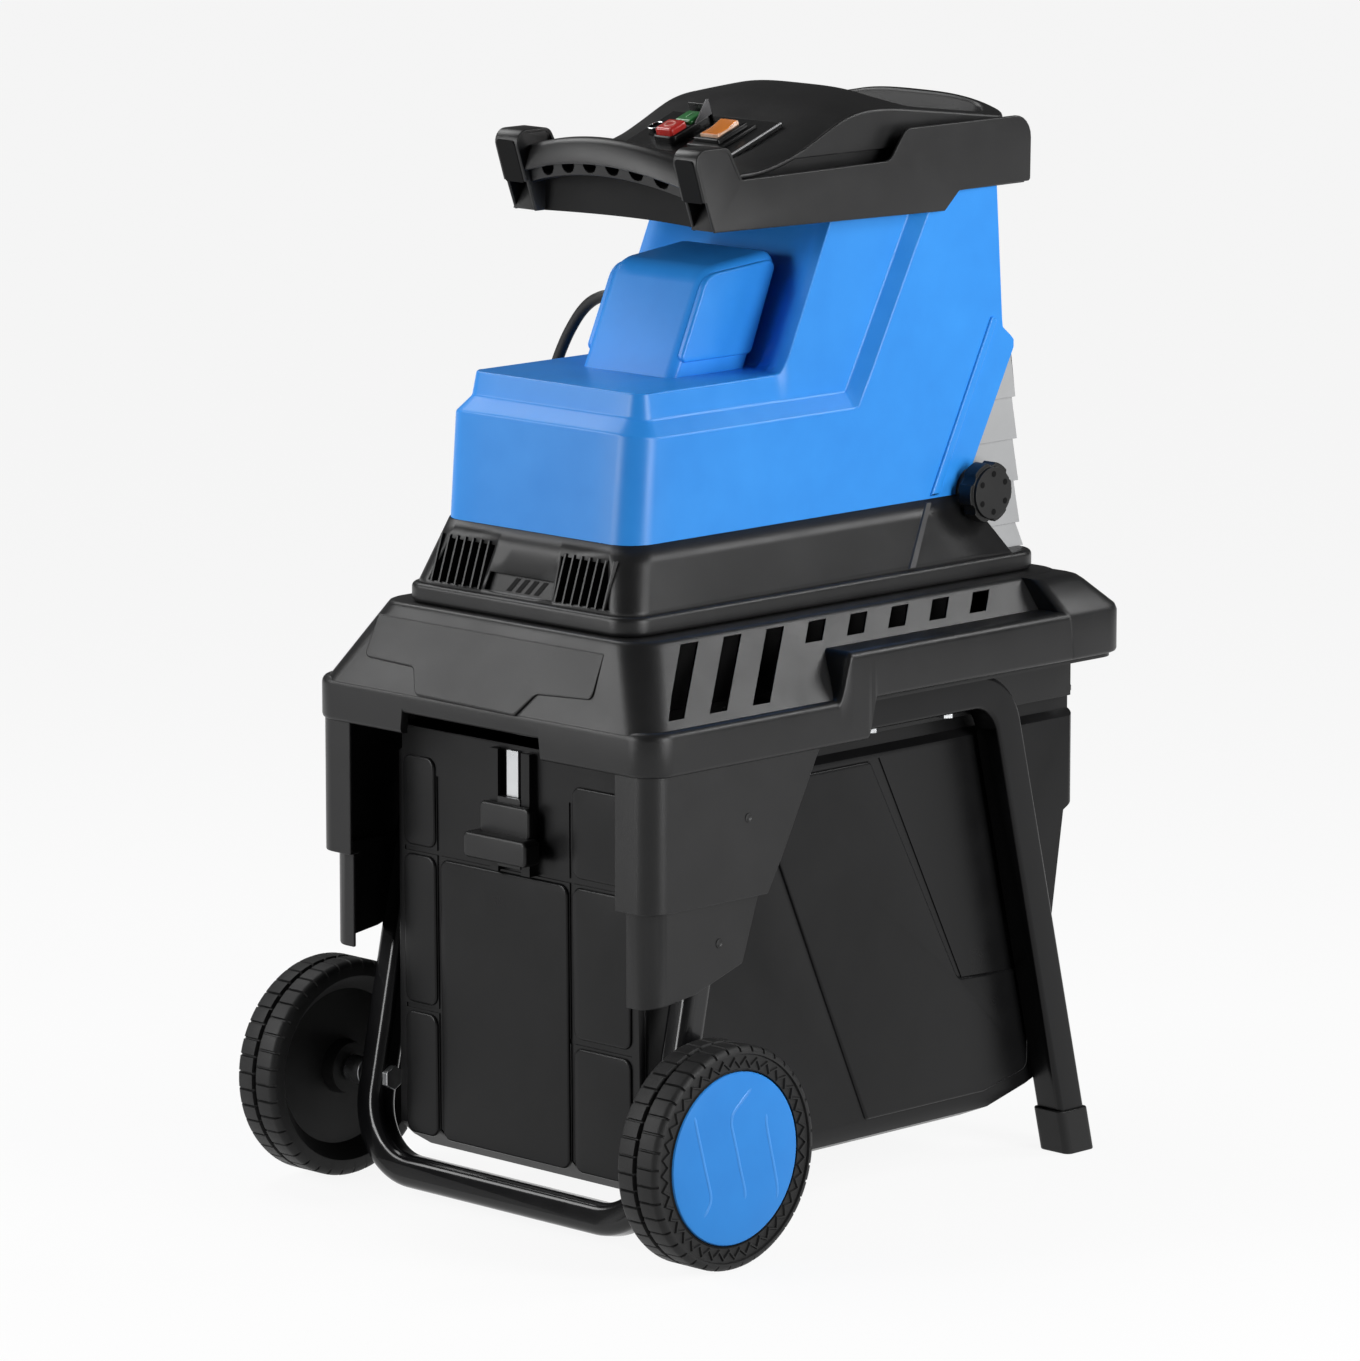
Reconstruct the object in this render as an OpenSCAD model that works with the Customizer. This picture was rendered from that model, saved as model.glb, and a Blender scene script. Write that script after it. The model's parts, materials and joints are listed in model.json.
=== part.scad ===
// Garden shredder with a cutting roller, a feed hopper and a pull-out collection box.
// Millimetres. +Z is up, -Y is the wheel and handle side, the origin lies on the ground at the middle.

/* [Wheels] */
// Diameter of the wheels over the tread
wheel_d = 190; // [160:1:210]
// Width of a wheel
wheel_w = 46; // [40:1:60]
// Radial depth of the ring that carries the tread
tread_ring = 21; // [15:1:30]
// Diameter of the hub round the axle
hub_d = 44; // [38:1:60]
// Thickness of a hub cap
cap_t = 4; // [3:0.5:6]
// Diameter of the axle bolts
axle_d = 12; // [8:0.5:14]
// Distance of the axles ahead of the middle
axle_ahead = 220; // [210:1:230]
// Gap between a wheel and the chassis rim
wheel_gap = 3; // [2:0.5:10]

/* [Frame tubes] */
// Side of the front frame's tube
bow_tube = 28; // [22:1:32]
// Corner radius of the front frame's tube
bow_corner = 9; // [4:0.5:10]
// Bend radius of the front frame at its middle line
bow_bend = 62; // [45:1:80]
// Height of the front frame's cross tube above the ground
bow_clear = 8; // [4:1:14]
// Lean of the front frame towards the rear, in degrees
bow_lean = 12; // [8:0.5:15]
// Side of the rear legs' square tube
leg_tube = 30; // [25:1:34]
// Corner radius of the rear legs' tube
leg_corner = 4; // [3:0.5:6]
// Bend radius of the rear legs at their middle line
leg_bend = 45; // [36:1:60]
// Lean of the rear legs, in degrees
leg_lean = 13.5; // [10:0.5:16]
// Place of the legs' front ends behind the middle
leg_start = 2; // [0:1:10]
// Distance of the feet behind the middle
foot_behind = 287; // [275:1:295]
// Height of a foot cap
foot_h = 40; // [25:1:60]
// Wall of a foot cap
foot_wall = 3; // [2:0.5:5]
// Wall of all tubes
tube_wall = 2; // [1.5:0.1:3]
// Diameter of the frame bolts
bolt_d = 8; // [6:0.5:10]

/* [Chassis] */
// Height of the deck's underside above the ground
deck_h = 443; // [425:1:460]
// Thickness of the deck
deck_t = 6; // [5:0.5:8]
// Height of the chassis above the deck's underside
chassis_h = 73; // [68:1:85]
// Width over the rim
rim_w = 412; // [400:1:430]
// Reach of the rim ahead of the middle
rim_front = 270; // [262:1:280]
// Reach of the rim behind the middle
rim_rear = 315; // [308:1:325]
// Drop of the front rim below the deck
rim_drop = 31; // [28:1:36]
// Height of the rim band
rim_h = 38; // [34:1:44]
// Rise of the rim from its front part to its rear part
rim_jog = 35; // [32:1:36]
// Place of the rim's rise, behind the middle
jog_y = 0; // [-10:1:10]
// Wall of the moulded shells
shell = 3; // [2:0.25:4]
// Number of long slots in each sloped wall
long_slots = 3; // [1:1:3]
// Number of short slots in each sloped wall
short_slots = 5; // [1:1:5]
// Drop of the skirts' lower edge below the deck, at the front
skirt_drop = 230; // [203:1:243]
// Drop of the step between the skirts' two parts below the deck
step_drop = 146; // [133:1:163]

/* [Collection box] */
// Gap between the box and the front frame's tubes
side_gap = 13; // [11:0.5:20]
// Reach of the box ahead of the middle
box_front = 225; // [218:1:230]
// Reach of the box behind the middle
box_rear = 313; // [300:1:314]
// Wall of the box
box_wall = 2.5; // [2:0.25:4]
// Gap between the box and the cross tube
box_clear = 4; // [2:0.5:10]
// Thickness of the box rails
rail_t = 2.7; // [2:0.1:4]
// Running gap between the box and its rails
slide_gap = 0.3; // [0.2:0.05:0.6]
// Width of the lock slider's grip
grip_w = 76; // [60:1:90]
// Width of the lock rod
rod_w = 14; // [10:0.5:18]
// Drop of the lock slider's lower edge below the box's top
lock_drop = 97; // [91:1:103]

/* [Lower housing] */
// Width of the flange
flange_w = 276; // [264:1:290]
// Reach of the flange ahead of the middle
flange_front = 227; // [222:1:232]
// Reach of the flange behind the middle
flange_rear = 281; // [276:1:286]
// Thickness of the flange
flange_t = 17; // [12:1:20]
// Height of the tapered part
housing_h = 55; // [50:1:62]
// Thickness of the floor under the motor
floor_t = 4; // [3:0.5:6]
// Number of slots in each front grille
grille_slots = 7; // [3:1:7]

/* [Hood] */
// Width of the hood
hood_w = 232; // [226:1:240]
// Reach of the hood ahead of the middle
hood_front = 203; // [196:1:208]
// Height of the low front part
low_h = 124; // [118:1:130]
// Height of the tower that carries the hopper
tower_h = 264; // [255:1:275]
// Inset of the upper walls from the lower walls
shoulder = 11; // [8:1:14]
// Width of the raised block on the front part
block_w = 110; // [90:1:124]
// Height of the raised block above the front part
block_h = 94; // [86:1:96]
// Number of louvres in the rear cover
louvres = 4; // [2:1:5]

/* [Hopper] */
// Width of the hopper
hopper_w = 240; // [238:1:256]
// Reach of the hopper behind the middle
hopper_rear = 282; // [278:1:290]
// Height of the hump over the tower's top
hump_h = 90; // [80:1:96]
// Height of the hopper's side walls over the tower's top
side_h = 33; // [28:1:36]
// Width of the feed mouth at its rim
mouth_w = 190; // [150:1:194]
// Width of a horn beside the grip
horn_w = 27; // [20:1:32]
// Width of the feed chute at its foot
chute_w = 100; // [80:1:104]

/* [Controls] */
// Tilt of the control panel, in degrees
panel_tilt = 20; // [16:0.5:24]
// Width of the control panel
panel_w = 130; // [120:1:140]
// Length of the control panel up the slope
panel_l = 72; // [68:1:76]
// Side of the start and stop buttons
button_s = 20; // [16:0.5:22]
// Length of the rocker
rocker_l = 29; // [24:0.5:32]
// Width of the rocker
rocker_w = 21; // [16:0.5:24]
// Diameter of the reset button
reset_d = 14; // [10:0.5:18]
// Running gap round a button
button_gap = 0.3; // [0.2:0.05:0.6]

/* [Motor and gears] */
// Diameter of the motor can
can_d = 124; // [116:1:130]
// Length of the motor can
can_l = 162; // [150:1:170]
// Diameter of the rotor
rotor_d = 72; // [60:1:80]
// Air gap between rotor and stator
air_gap = 0.6; // [0.4:0.1:1.2]
// Diameter of the motor shaft
motor_shaft_d = 14; // [12:0.5:16]
// Gear module
gear_m = 2; // [1.8:0.05:2]
// Teeth of both gears of a pair together
teeth_sum = 60; // [58:1:60]
// Teeth of the motor pinion
teeth_a = 14; // [13:1:16]
// Teeth of the intermediate pinion
teeth_c = 15; // [14:1:18]
// Face width of the first gear pair
face_1 = 14; // [10:1:16]
// Face width of the second gear pair
face_2 = 20; // [14:1:22]

/* [Cutter] */
// Diameter of the cutting roller
roller_d = 92; // [84:1:94]
// Length of the cutting roller
roller_l = 72; // [64:1:74]
// Blades on the cutting roller
blades = 8; // [6:1:10]
// Diameter of the roller shaft
roller_shaft_d = 20; // [16:0.5:24]
// Place of the roller's middle behind the middle of the machine
roller_y = 212; // [210:1:214]
// Height of the roller's axis above the floor
axis_up = 70; // [69:1:72]
// Wall of the cutter housing across the shaft
cut_wall = 6; // [5:0.5:7]
// Gap between the roller and the open pressure plate
plate_gap = 4; // [3.5:0.5:6]
// Thickness of the pressure plate
plate_t = 8; // [6:0.5:10]
// Diameter of the adjusting screw
screw_d = 12; // [10:0.5:14]
// Diameter of the adjusting knob
knob_d = 53; // [46:1:60]
// Thickness of the adjusting knob
knob_t = 17; // [14:1:20]

/* [Lead] */
// Diameter of the mains lead
cord_d = 10; // [8:0.5:10]
// Length of the gland's tapered relief
gland_l = 26; // [22:1:30]

/* [Hidden] */
$fn = 64;
// Radial running gap of shafts, and diametral gap of fixed fits
run = 0.05;
fit = 0.02;
lap = 1;

// Wheels and frame
wheel_r = wheel_d / 2;
wheel_in = rim_w / 2 + wheel_gap;
ring_in = wheel_r - tread_ring;
axle_y = -axle_ahead;
axle_z = wheel_r;
nut_t = 7;
nut_r = axle_d * 0.9;
head_t = 6;
cap_seat = wheel_w - cap_t;
hub_l = cap_seat - nut_t - 1;
skirt_x = rim_w / 2 - shell - 0.5;
skirt_inset = 8;
bow_x = skirt_x - skirt_inset - shell - 1.5 - bow_tube / 2;
cross_z = bow_clear + bow_tube / 2;
cross_w = (cross_z - axle_z) / cos(bow_lean);
bow_top_y = axle_y + (deck_h - axle_z) * tan(bow_lean);
box_hw = bow_x - bow_tube / 2 - side_gap;
leg_x = box_hw + slide_gap + rail_t + leg_tube / 2;
leg_z = deck_h - leg_tube / 2;
leg_turn = 90 - leg_lean;
leg_end_z = leg_z - leg_bend + leg_bend * cos(leg_turn);
leg_bend_y = foot_behind - leg_end_z * tan(leg_lean) - leg_bend * sin(leg_turn);
leg_end_y = leg_bend_y + leg_bend * sin(leg_turn);
leg_run = leg_end_z / cos(leg_lean);
foot_floor = 4;
leg_bolt_ys = [leg_start + 30, leg_bend_y - 22];

// Chassis levels and outlines
rim_z = deck_h - rim_drop;
rim_hw = rim_w / 2;
rim_top = rim_z + rim_h;
rear_rim_z = rim_z + rim_jog;
rear_rim_top = rear_rim_z + 35;
skirt_low = deck_h - skirt_drop;
skirt_step = deck_h - step_drop;
field_up = 1.5;
notch_h = 18;
chassis_top = deck_h + chassis_h;
flange_hw = flange_w / 2;
flange_top = chassis_top + flange_t;
housing_top = flange_top + housing_h;
floor_z = chassis_top + floor_t;
hood_hw = hood_w / 2;
cover_hw = hood_hw - shell;
seam = 0.5;
tower_top = housing_top + tower_h;
low_top = housing_top + low_h;

// Collection box
box_floor = bow_clear + bow_tube + box_clear;
box_top = rim_z - 3;
box_lip = 4;
neck_in = 10;
neck_h = 22;
lock_face = -box_front - 8;
lock_low = box_top - lock_drop;
line_w = 4;
line_deep = 1;

// Cutter and gears
axis_z = floor_z + axis_up;
end_gap = 2;
cut_y0 = roller_y - roller_l / 2 - end_gap - cut_wall;
cut_y1 = roller_y + roller_l / 2 + end_gap + cut_wall;
case_l = 72;
case_wall = 8;
case_y0 = cut_y0 - case_l;
can_y0 = case_y0 - can_l;
teeth_b = teeth_sum - teeth_a;
teeth_d = teeth_sum - teeth_c;
train_a = gear_m * teeth_sum / 2;
mesh_turn = 135;
mid_x = train_a * cos(mesh_turn);
mid_z = axis_z + train_a * sin(mesh_turn);
first_y = case_y0 + case_wall + 4;
second_y = first_y + face_1 + 6;
gear_r_b = gear_m * (teeth_b + 2) / 2;
gear_r_d = gear_m * (teeth_d + 2) / 2;
case_x0 = mid_x - gear_r_b - 8;
case_x1 = gear_r_d + 8;
case_z0 = axis_z - gear_r_d - 6;
case_z1 = mid_z + gear_r_b + 6;
roller_r = roller_d / 2;
plate_x = roller_r + plate_gap;
nut_end = plate_x + plate_t + 26;
screw_tip = plate_x + plate_t + 2;
cut_x1 = nut_end + 4;
cut_x2 = cut_x1 + 8;
cut_x0 = -roller_r - 10;
cut_top = axis_z + roller_r + 19;
knob_x = hood_hw + 9.5;
boss_end = knob_x - 2;
bearing_d = 40;
motor_bearing_d = 32;
mid_shaft_d = 14;
chute_hw = chute_w / 2;
chute_y0 = cut_y0 + cut_wall + shell;
chute_y1 = cut_y1 - cut_wall - shell;
chip_hw = chute_hw + 6;
plate_hole = 4;

// Hopper and panel
hopper_hw = hopper_w / 2;
mouth_hw = mouth_w / 2;
mouth_y0 = 124;
mouth_y1 = 262;
throat_hw = chute_hw + 36;
throat_y0 = mouth_y0 + 4;
tower_rear = 244;
throat_y1 = tower_rear - 2 * shell - 1;
body_hw = hopper_hw - 15;
floor_top = tower_top + shell;
side_top = tower_top + side_h;
lip_z = tower_top + 61;
lip_sag = 13;
horn_in = hopper_hw - horn_w;
panel_y = -38;
panel_z = tower_top + 41;
bezel_x = -20;
bezel_v = 36;
bezel_t = 9;
rocker_x = 26;
rocker_v = 36;
pivot_d = 3;
pivot_n = 6.5;
reset_x = -48;
reset_v = 33;

// Lead: where it leaves the gland, over the rim and down beside the box
gland_y = -22;
gland_z = tower_top - 90;
gland_x = -block_w / 2;
gland_rim = 6;
lead_start = [gland_x - gland_rim - gland_l, gland_y, gland_z];
lead_fall = [[0, 0, 0], [-10, 0, -1], [-19.5, 0, -4], [-28.3, 0, -8.6], [-36.2, 0, -14.8], [-43.2, 0, -22],
  [-49.5, 0, -30], [-55.3, 0, -38.2], [-61.5, 0, -48.5], [-68, 0, -61], [-74.3, 0, -75.5], [-79.7, 0, -92],
  [-84, -1, -111], [-87, -2, -132], [-89, -3, -156], [-91, -4, -182]];
lead_edge = [-rim_hw, gland_y, rim_top];
lead_hang = [[26, -5, 105], [22, -6, 80], [16, -7, 57], [8, -8, 36], [-1, -9, 16], [-6, -10, -1],
  [-9, -10, -19], [-10, -10, -37], [-10, -10, -54]];
lead_points = concat([for (p = lead_fall) lead_start + p], [for (p = lead_hang) lead_edge + p]);
lead_end = lead_points[len(lead_points) - 1];
plug_r = 19;

// Carries an outline of Y and Z from x0 to x1
module yz(points, x0, x1) {
  translate([x0, 0, 0])
    rotate([90, 0, 90])
      linear_extrude(x1 - x0)
        polygon(points);
}

// Carries an outline of X and Z from y0 to y1
module xz(points, y0, y1) {
  translate([0, y1, 0])
    rotate([90, 0, 0])
      linear_extrude(y1 - y0)
        polygon(points);
}

// Both halves of an outline whose right half is given from bottom to top
function halves(right) =
  concat(right, [for (k = [len(right) - 1 : -1 : 0]) [-right[k][0], right[k][1]]]);

module round_rect(x0, x1, y0, y1, r) {
  translate([x0 + r, y0])
    square([x1 - x0 - 2 * r, y1 - y0]);
  translate([x0, y0 + r])
    square([x1 - x0, y1 - y0 - 2 * r]);
  for (x = [x0 + r, x1 - r], y = [y0 + r, y1 - r])
    translate([x, y])
      circle(r);
}

module slab(hw, y0, y1, r, z0, z1) {
  translate([0, 0, z0])
    linear_extrude(z1 - z0)
      round_rect(-hw, hw, y0, y1, r);
}

module block(x0, x1, y0, y1, z0, z1) {
  translate([x0, y0, z0])
    cube([x1 - x0, y1 - y0, z1 - z0]);
}

module rod_x(d, x0, x1, y, z) {
  translate([x0, y, z])
    rotate([0, 90, 0])
      cylinder(d = d, h = x1 - x0);
}

module rod_y(d, y0, y1, x, z) {
  translate([x, y0, z])
    rotate([-90, 0, 0])
      cylinder(d = d, h = y1 - y0);
}

module ring_y(d_out, d_in, y0, y1, x, z) {
  difference() {
    rod_y(d_out, y0, y1, x, z);
    rod_y(d_in, y0 - lap, y1 + lap, x, z);
  }
}

module both_sides() {
  children();
  mirror([1, 0, 0])
    children();
}

// Closed skin through cross-sections that have the same number of points; the ends fan out from the second
module loft(sections) {
  n = len(sections[0]);
  last = len(sections) - 1;
  points = [for (s = sections) each s];
  sides = [for (k = [0 : last - 1], j = [0 : n - 1]) each [
    [k * n + j, k * n + (j + 1) % n, (k + 1) * n + j],
    [k * n + (j + 1) % n, (k + 1) * n + (j + 1) % n, (k + 1) * n + j]]];
  fan = [for (j = [2 : n - 1]) [1, j, (j + 1) % n]];
  ends = [for (f = fan) each [[f[2], f[1], f[0]], [for (j = f) last * n + j]]];
  polyhedron(points, concat(sides, ends));
}

// Wheels

module wheel_form() {
  bore = axle_d / 2 + run;
  soft = 4;
  translate([wheel_in, axle_y, axle_z])
    rotate([0, 90, 0])
      rotate_extrude()
        polygon([[bore, 0], [hub_d / 2, 0], [hub_d / 2, hub_l], [ring_in, hub_l], [ring_in, 0],
          [wheel_r - soft, 0], [wheel_r, soft], [wheel_r, wheel_w - soft], [wheel_r - soft, wheel_w],
          [ring_in, wheel_w], [ring_in, cap_seat], [nut_r + 2, cap_seat], [nut_r + 2, hub_l],
          [bore, hub_l]]);
}

module cap_form() {
  translate([wheel_in, axle_y, axle_z])
    rotate([0, 90, 0])
      rotate_extrude()
        polygon([[0, cap_seat], [ring_in - 1, cap_seat], [ring_in - 1, wheel_w - 1.5],
          [ring_in - 5, wheel_w], [0, wheel_w]]);
}

module right_wheel() {
  color("#232324")
    wheel_form();
}

module left_wheel() {
  color("#232324")
    mirror([1, 0, 0])
      wheel_form();
}

module right_hub_cap() {
  color("#1f6fd6")
    cap_form();
}

module left_hub_cap() {
  color("#1f6fd6")
    mirror([1, 0, 0])
      cap_form();
}

module axle_bolts() {
  color("silver")
    both_sides() {
      rod_x(axle_d, bow_x - bow_tube / 2, wheel_in + cap_seat - 1, axle_y, axle_z);
      translate([bow_x - bow_tube / 2 - head_t, axle_y, axle_z])
        rotate([0, 90, 0])
          cylinder(r = nut_r, h = head_t, $fn = 6);
    }
}

module axle_spacers() {
  color("silver")
    both_sides()
      difference() {
        rod_x(axle_d * 2, bow_x + bow_tube / 2, wheel_in - 0.4, axle_y, axle_z);
        rod_x(axle_d + fit, bow_x, wheel_in, axle_y, axle_z);
      }
}

module axle_nuts() {
  color("silver")
    both_sides()
      difference() {
        translate([wheel_in + hub_l + 0.4, axle_y, axle_z])
          rotate([0, 90, 0])
            cylinder(r = nut_r, h = nut_t, $fn = 6);
        rod_x(axle_d + fit, wheel_in, wheel_in + wheel_w, axle_y, axle_z);
      }
}

// Front frame, drawn upright with its axles at the origin and then leaned back

module tube_outline(side, corner) {
  round_rect(-side / 2, side / 2, -side / 2, side / 2, corner);
}

module bow_run(side, corner) {
  top = (deck_h - axle_z) / cos(bow_lean) + bow_tube;
  both_sides() {
    translate([bow_x, 0, cross_w + bow_bend])
      linear_extrude(top - cross_w - bow_bend)
        tube_outline(side, corner);
    translate([bow_x - bow_bend, 0, cross_w + bow_bend])
      rotate([90, 0, 0])
        rotate([0, 0, -90])
          rotate_extrude(angle = 90)
            translate([bow_bend, 0])
              tube_outline(side, corner);
  }
  translate([-bow_x + bow_bend, 0, cross_w])
    rotate([0, 90, 0])
      linear_extrude(2 * (bow_x - bow_bend))
        tube_outline(side, corner);
}

module leaned() {
  translate([0, axle_y, axle_z])
    rotate([-bow_lean, 0, 0])
      children();
}

module under_deck() {
  intersection() {
    children();
    block(-rim_w, rim_w, -rim_w, rim_w, -lap, deck_h);
  }
}

module front_frame() {
  color("#141416")
    under_deck()
      difference() {
        leaned()
          bow_run(bow_tube, bow_corner);
        leaned()
          bow_run(bow_tube - 2 * tube_wall, bow_corner - tube_wall);
        both_sides()
          rod_x(axle_d + fit, bow_x - bow_tube, bow_x + bow_tube, axle_y, axle_z);
      }
}

module frame_plugs() {
  plug_h = 50;
  color("#232324")
    both_sides()
      difference() {
        under_deck()
          leaned()
            translate([bow_x, 0, (deck_h - axle_z) / cos(bow_lean) - plug_h])
              linear_extrude(plug_h + bow_tube)
                tube_outline(bow_tube - 2 * tube_wall - fit, bow_corner - tube_wall);
        translate([bow_x, bow_top_y, deck_h - 30])
          cylinder(d = bolt_d + fit, h = 40);
      }
}

module bolt_head(z0) {
  translate([0, 0, z0])
    cylinder(d = bolt_d * 1.9, h = 5, $fn = 6);
}

module frame_bolts() {
  color("silver")
    both_sides()
      translate([bow_x, bow_top_y, 0]) {
        translate([0, 0, deck_h - 28])
          cylinder(d = bolt_d, h = 28 + deck_t);
        bolt_head(deck_h + deck_t);
      }
}

// Rear legs

module leg_run_form(side, corner) {
  translate([leg_x, leg_start, leg_z])
    rotate([-90, 0, 0])
      linear_extrude(leg_bend_y - leg_start)
        tube_outline(side, corner);
  translate([leg_x, leg_bend_y, leg_z - leg_bend])
    rotate([90, 0, 90])
      rotate([0, 0, leg_lean])
        rotate_extrude(angle = leg_turn)
          translate([leg_bend, 0])
            tube_outline(side, corner);
  along_leg()
    linear_extrude(leg_run + leg_tube)
      tube_outline(side, corner);
}

module along_leg() {
  translate([leg_x, leg_end_y, leg_end_z])
    rotate([180 + leg_lean, 0, 0])
      children();
}

module above(z) {
  intersection() {
    children();
    block(-rim_w, rim_w, -rim_w, rim_w, z, deck_h + lap);
  }
}

module leg_form() {
  difference() {
    above(foot_floor)
      leg_run_form(leg_tube, leg_corner);
    leg_run_form(leg_tube - 2 * tube_wall, leg_corner - tube_wall);
    block(leg_x - leg_tube / 2 + tube_wall, leg_x + leg_tube / 2 - tube_wall, leg_start - lap,
      leg_start + lap, leg_z - leg_tube / 2 + tube_wall, leg_z + leg_tube / 2 - tube_wall);
    for (y = leg_bolt_ys)
      translate([leg_x, y, leg_z - leg_tube])
        cylinder(d = bolt_d + fit, h = 2 * leg_tube);
  }
}

module right_leg() {
  color("#141416")
    leg_form();
}

module left_leg() {
  color("#141416")
    mirror([1, 0, 0])
      leg_form();
}

module foot_form() {
  pocket = leg_tube + fit;
  difference() {
    intersection() {
      along_leg()
        linear_extrude(leg_run + leg_tube)
          tube_outline(leg_tube + 2 * foot_wall, leg_corner + foot_wall);
      block(0, rim_w, 0, rim_w, 0, foot_h);
    }
    above(foot_floor)
      along_leg()
        linear_extrude(leg_run + leg_tube)
          tube_outline(pocket, leg_corner);
  }
}

module right_foot() {
  color("#1b1b1c")
    foot_form();
}

module left_foot() {
  color("#1b1b1c")
    mirror([1, 0, 0])
      foot_form();
}

module leg_bolts() {
  color("silver")
    both_sides()
      for (y = leg_bolt_ys)
        translate([leg_x, y, 0]) {
          translate([0, 0, deck_h - leg_tube])
            cylinder(d = bolt_d, h = leg_tube + deck_t + 8);
          bolt_head(deck_h - leg_tube - 5);
        }
}

module leg_nuts() {
  color("silver")
    both_sides()
      for (y = leg_bolt_ys)
        translate([leg_x, y, 0])
          difference() {
            bolt_head(deck_h + deck_t);
            translate([0, 0, deck_h])
              cylinder(d = bolt_d + fit, h = 2 * leg_tube);
          }
}

// Chassis

module chassis_skin(i) {
  drop = i > 0 ? 8 : 0;
  corner = 18;
  hull() {
    slab(flange_hw + 12 - i, -flange_front - 8 + i, flange_rear + 9 - i, corner, chassis_top - 1 - i,
      chassis_top - i);
    slab(rim_hw - 9 - i, -rim_front + 8 + i, rim_rear - 12 - i, corner, rim_top - drop, rim_top + 1 - i);
  }
  hull() {
    slab(rim_hw - i, rim_rear - 69 + i, rim_rear - i, corner, rear_rim_z - drop, rear_rim_z + 1);
    slab(rim_hw - 6 - i, rim_rear - 75 + i, rim_rear - 6 - i, corner, rear_rim_z + 40, rear_rim_z + 41);
    slab(flange_hw + 22 - i, rim_rear - 83 + i, rim_rear - 23 - i, corner, chassis_top - 2 - i,
      chassis_top - 1 - i);
  }
  intersection() {
    slab(rim_hw - i, -rim_front + i, rim_rear - i, corner + 2, rim_z - 2 * drop, chassis_top);
    yz(i > 0
      ? [[-rim_w, rim_z - 2 * drop], [rim_w, rim_z - 2 * drop], [rim_w, rear_rim_top - i],
        [jog_y - 7 + i, rear_rim_top - i], [jog_y - 25 + i, rim_top - i], [-rim_w, rim_top - i]]
      : [[-rim_w, rim_z], [jog_y - 11, rim_z], [jog_y + 2, rear_rim_z], [rim_w, rear_rim_z],
        [rim_w, rear_rim_top], [jog_y - 7, rear_rim_top], [jog_y - 25, rim_top], [-rim_w, rim_top]],
      -rim_hw, rim_hw);
  }
}

module side_slots() {
  for (k = [0 : long_slots - 1])
    let (y = -228 + 49.5 * k)
      yz([[y, rim_top + 6], [y + 25, rim_top + 6], [y + 73, chassis_top - 6], [y + 46, chassis_top - 6]],
        -rim_w, rim_w);
  for (k = [0 : short_slots - 1])
    let (y = -34 + 50.8 * k)
      yz([[y, chassis_top - 24], [y + 21, chassis_top - 24], [y + 30, chassis_top - 5],
        [y + 9, chassis_top - 5]], -rim_w, rim_w);
}

// Raised field on the front slope
module front_field() {
  intersection() {
    chassis_skin(-field_up);
    xz([[-141, rim_top + 47], [-129, rim_top + 19], [-83, rim_top + 14], [-77, rim_top + 2],
      [45, rim_top + 2], [56, rim_top + 13], [121, rim_top + 17], [125, rim_top + 41]],
      -rim_front, -flange_front);
  }
}

module chassis() {
  color("#2b2b2d")
    difference() {
      union() {
        difference() {
          union() {
            chassis_skin(0);
            front_field();
          }
          chassis_skin(shell);
          side_slots();
          block(-92, 75, -rim_front - lap, -rim_front + 2 * shell, rim_z - lap, rim_z + notch_h);
        }
        slab(rim_hw - shell + 0.5, -rim_front + shell - 0.5, rim_rear - shell + 0.5, 18, deck_h,
          deck_h + deck_t);
      }
      block(-chip_hw - plate_hole, chip_hw + plate_hole, chute_y0 - 10, chute_y1 + 10, deck_h - lap,
        chassis_top + lap);
      block(-rod_w / 2 - 2, rod_w / 2 + 2, -box_front - 7, -box_front + 3, deck_h - lap,
        deck_h + deck_t + lap);
      both_sides() {
        translate([bow_x, bow_top_y, deck_h - lap])
          cylinder(d = bolt_d + fit, h = deck_t + 2 * lap);
        for (y = leg_bolt_ys)
          translate([leg_x, y, deck_h - lap])
            cylinder(d = bolt_d + fit, h = deck_t + 2 * lap);
      }
    }
}

// Skirts that hang below the front rim, with a narrower lower part

module skirt_form() {
  corner = 20;
  inner_x = box_hw + 11;
  front = -rim_front + shell + 0.5;
  difference() {
    intersection() {
      slab(skirt_x, front, rim_rear, corner, 0, deck_h);
      yz([[-rim_front, skirt_step], [-128, skirt_step], [-112, skirt_step + 27], [-66, rim_z], [-62, deck_h],
        [-rim_front, deck_h]], inner_x, rim_w);
    }
    slab(skirt_x - shell, front + shell, rim_w, corner - shell, skirt_step + shell, deck_h + lap);
    slab(skirt_x - skirt_inset - shell, front + skirt_inset + shell, rim_w, corner - shell, 0, deck_h);
  }
  difference() {
    intersection() {
      slab(skirt_x - skirt_inset, front + skirt_inset, rim_rear, corner, 0, deck_h);
      yz([[-rim_front, skirt_low], [-205, skirt_low + 9], [-150, skirt_low + 27], [-130, skirt_step + 2],
        [-rim_front, skirt_step + 2]], inner_x + 5, rim_w);
    }
    slab(skirt_x - skirt_inset - shell, front + skirt_inset + shell, rim_w, corner - shell, 0, deck_h + lap);
  }
}

module right_skirt() {
  color("#262628")
    skirt_form();
}

module left_skirt() {
  color("#262628")
    mirror([1, 0, 0])
      skirt_form();
}

// Rails that carry the box by the groove under its lip

module rail_form() {
  ledge_top = box_top - box_lip - slide_gap;
  x_out = box_hw + slide_gap + rail_t;
  xz([[box_hw - neck_in + slide_gap, ledge_top - rail_t], [x_out, ledge_top - rail_t], [x_out, deck_h],
    [box_hw + slide_gap, deck_h], [box_hw + slide_gap, ledge_top], [box_hw - neck_in + slide_gap, ledge_top]],
    -box_front + 25, box_rear - 10);
}

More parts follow.
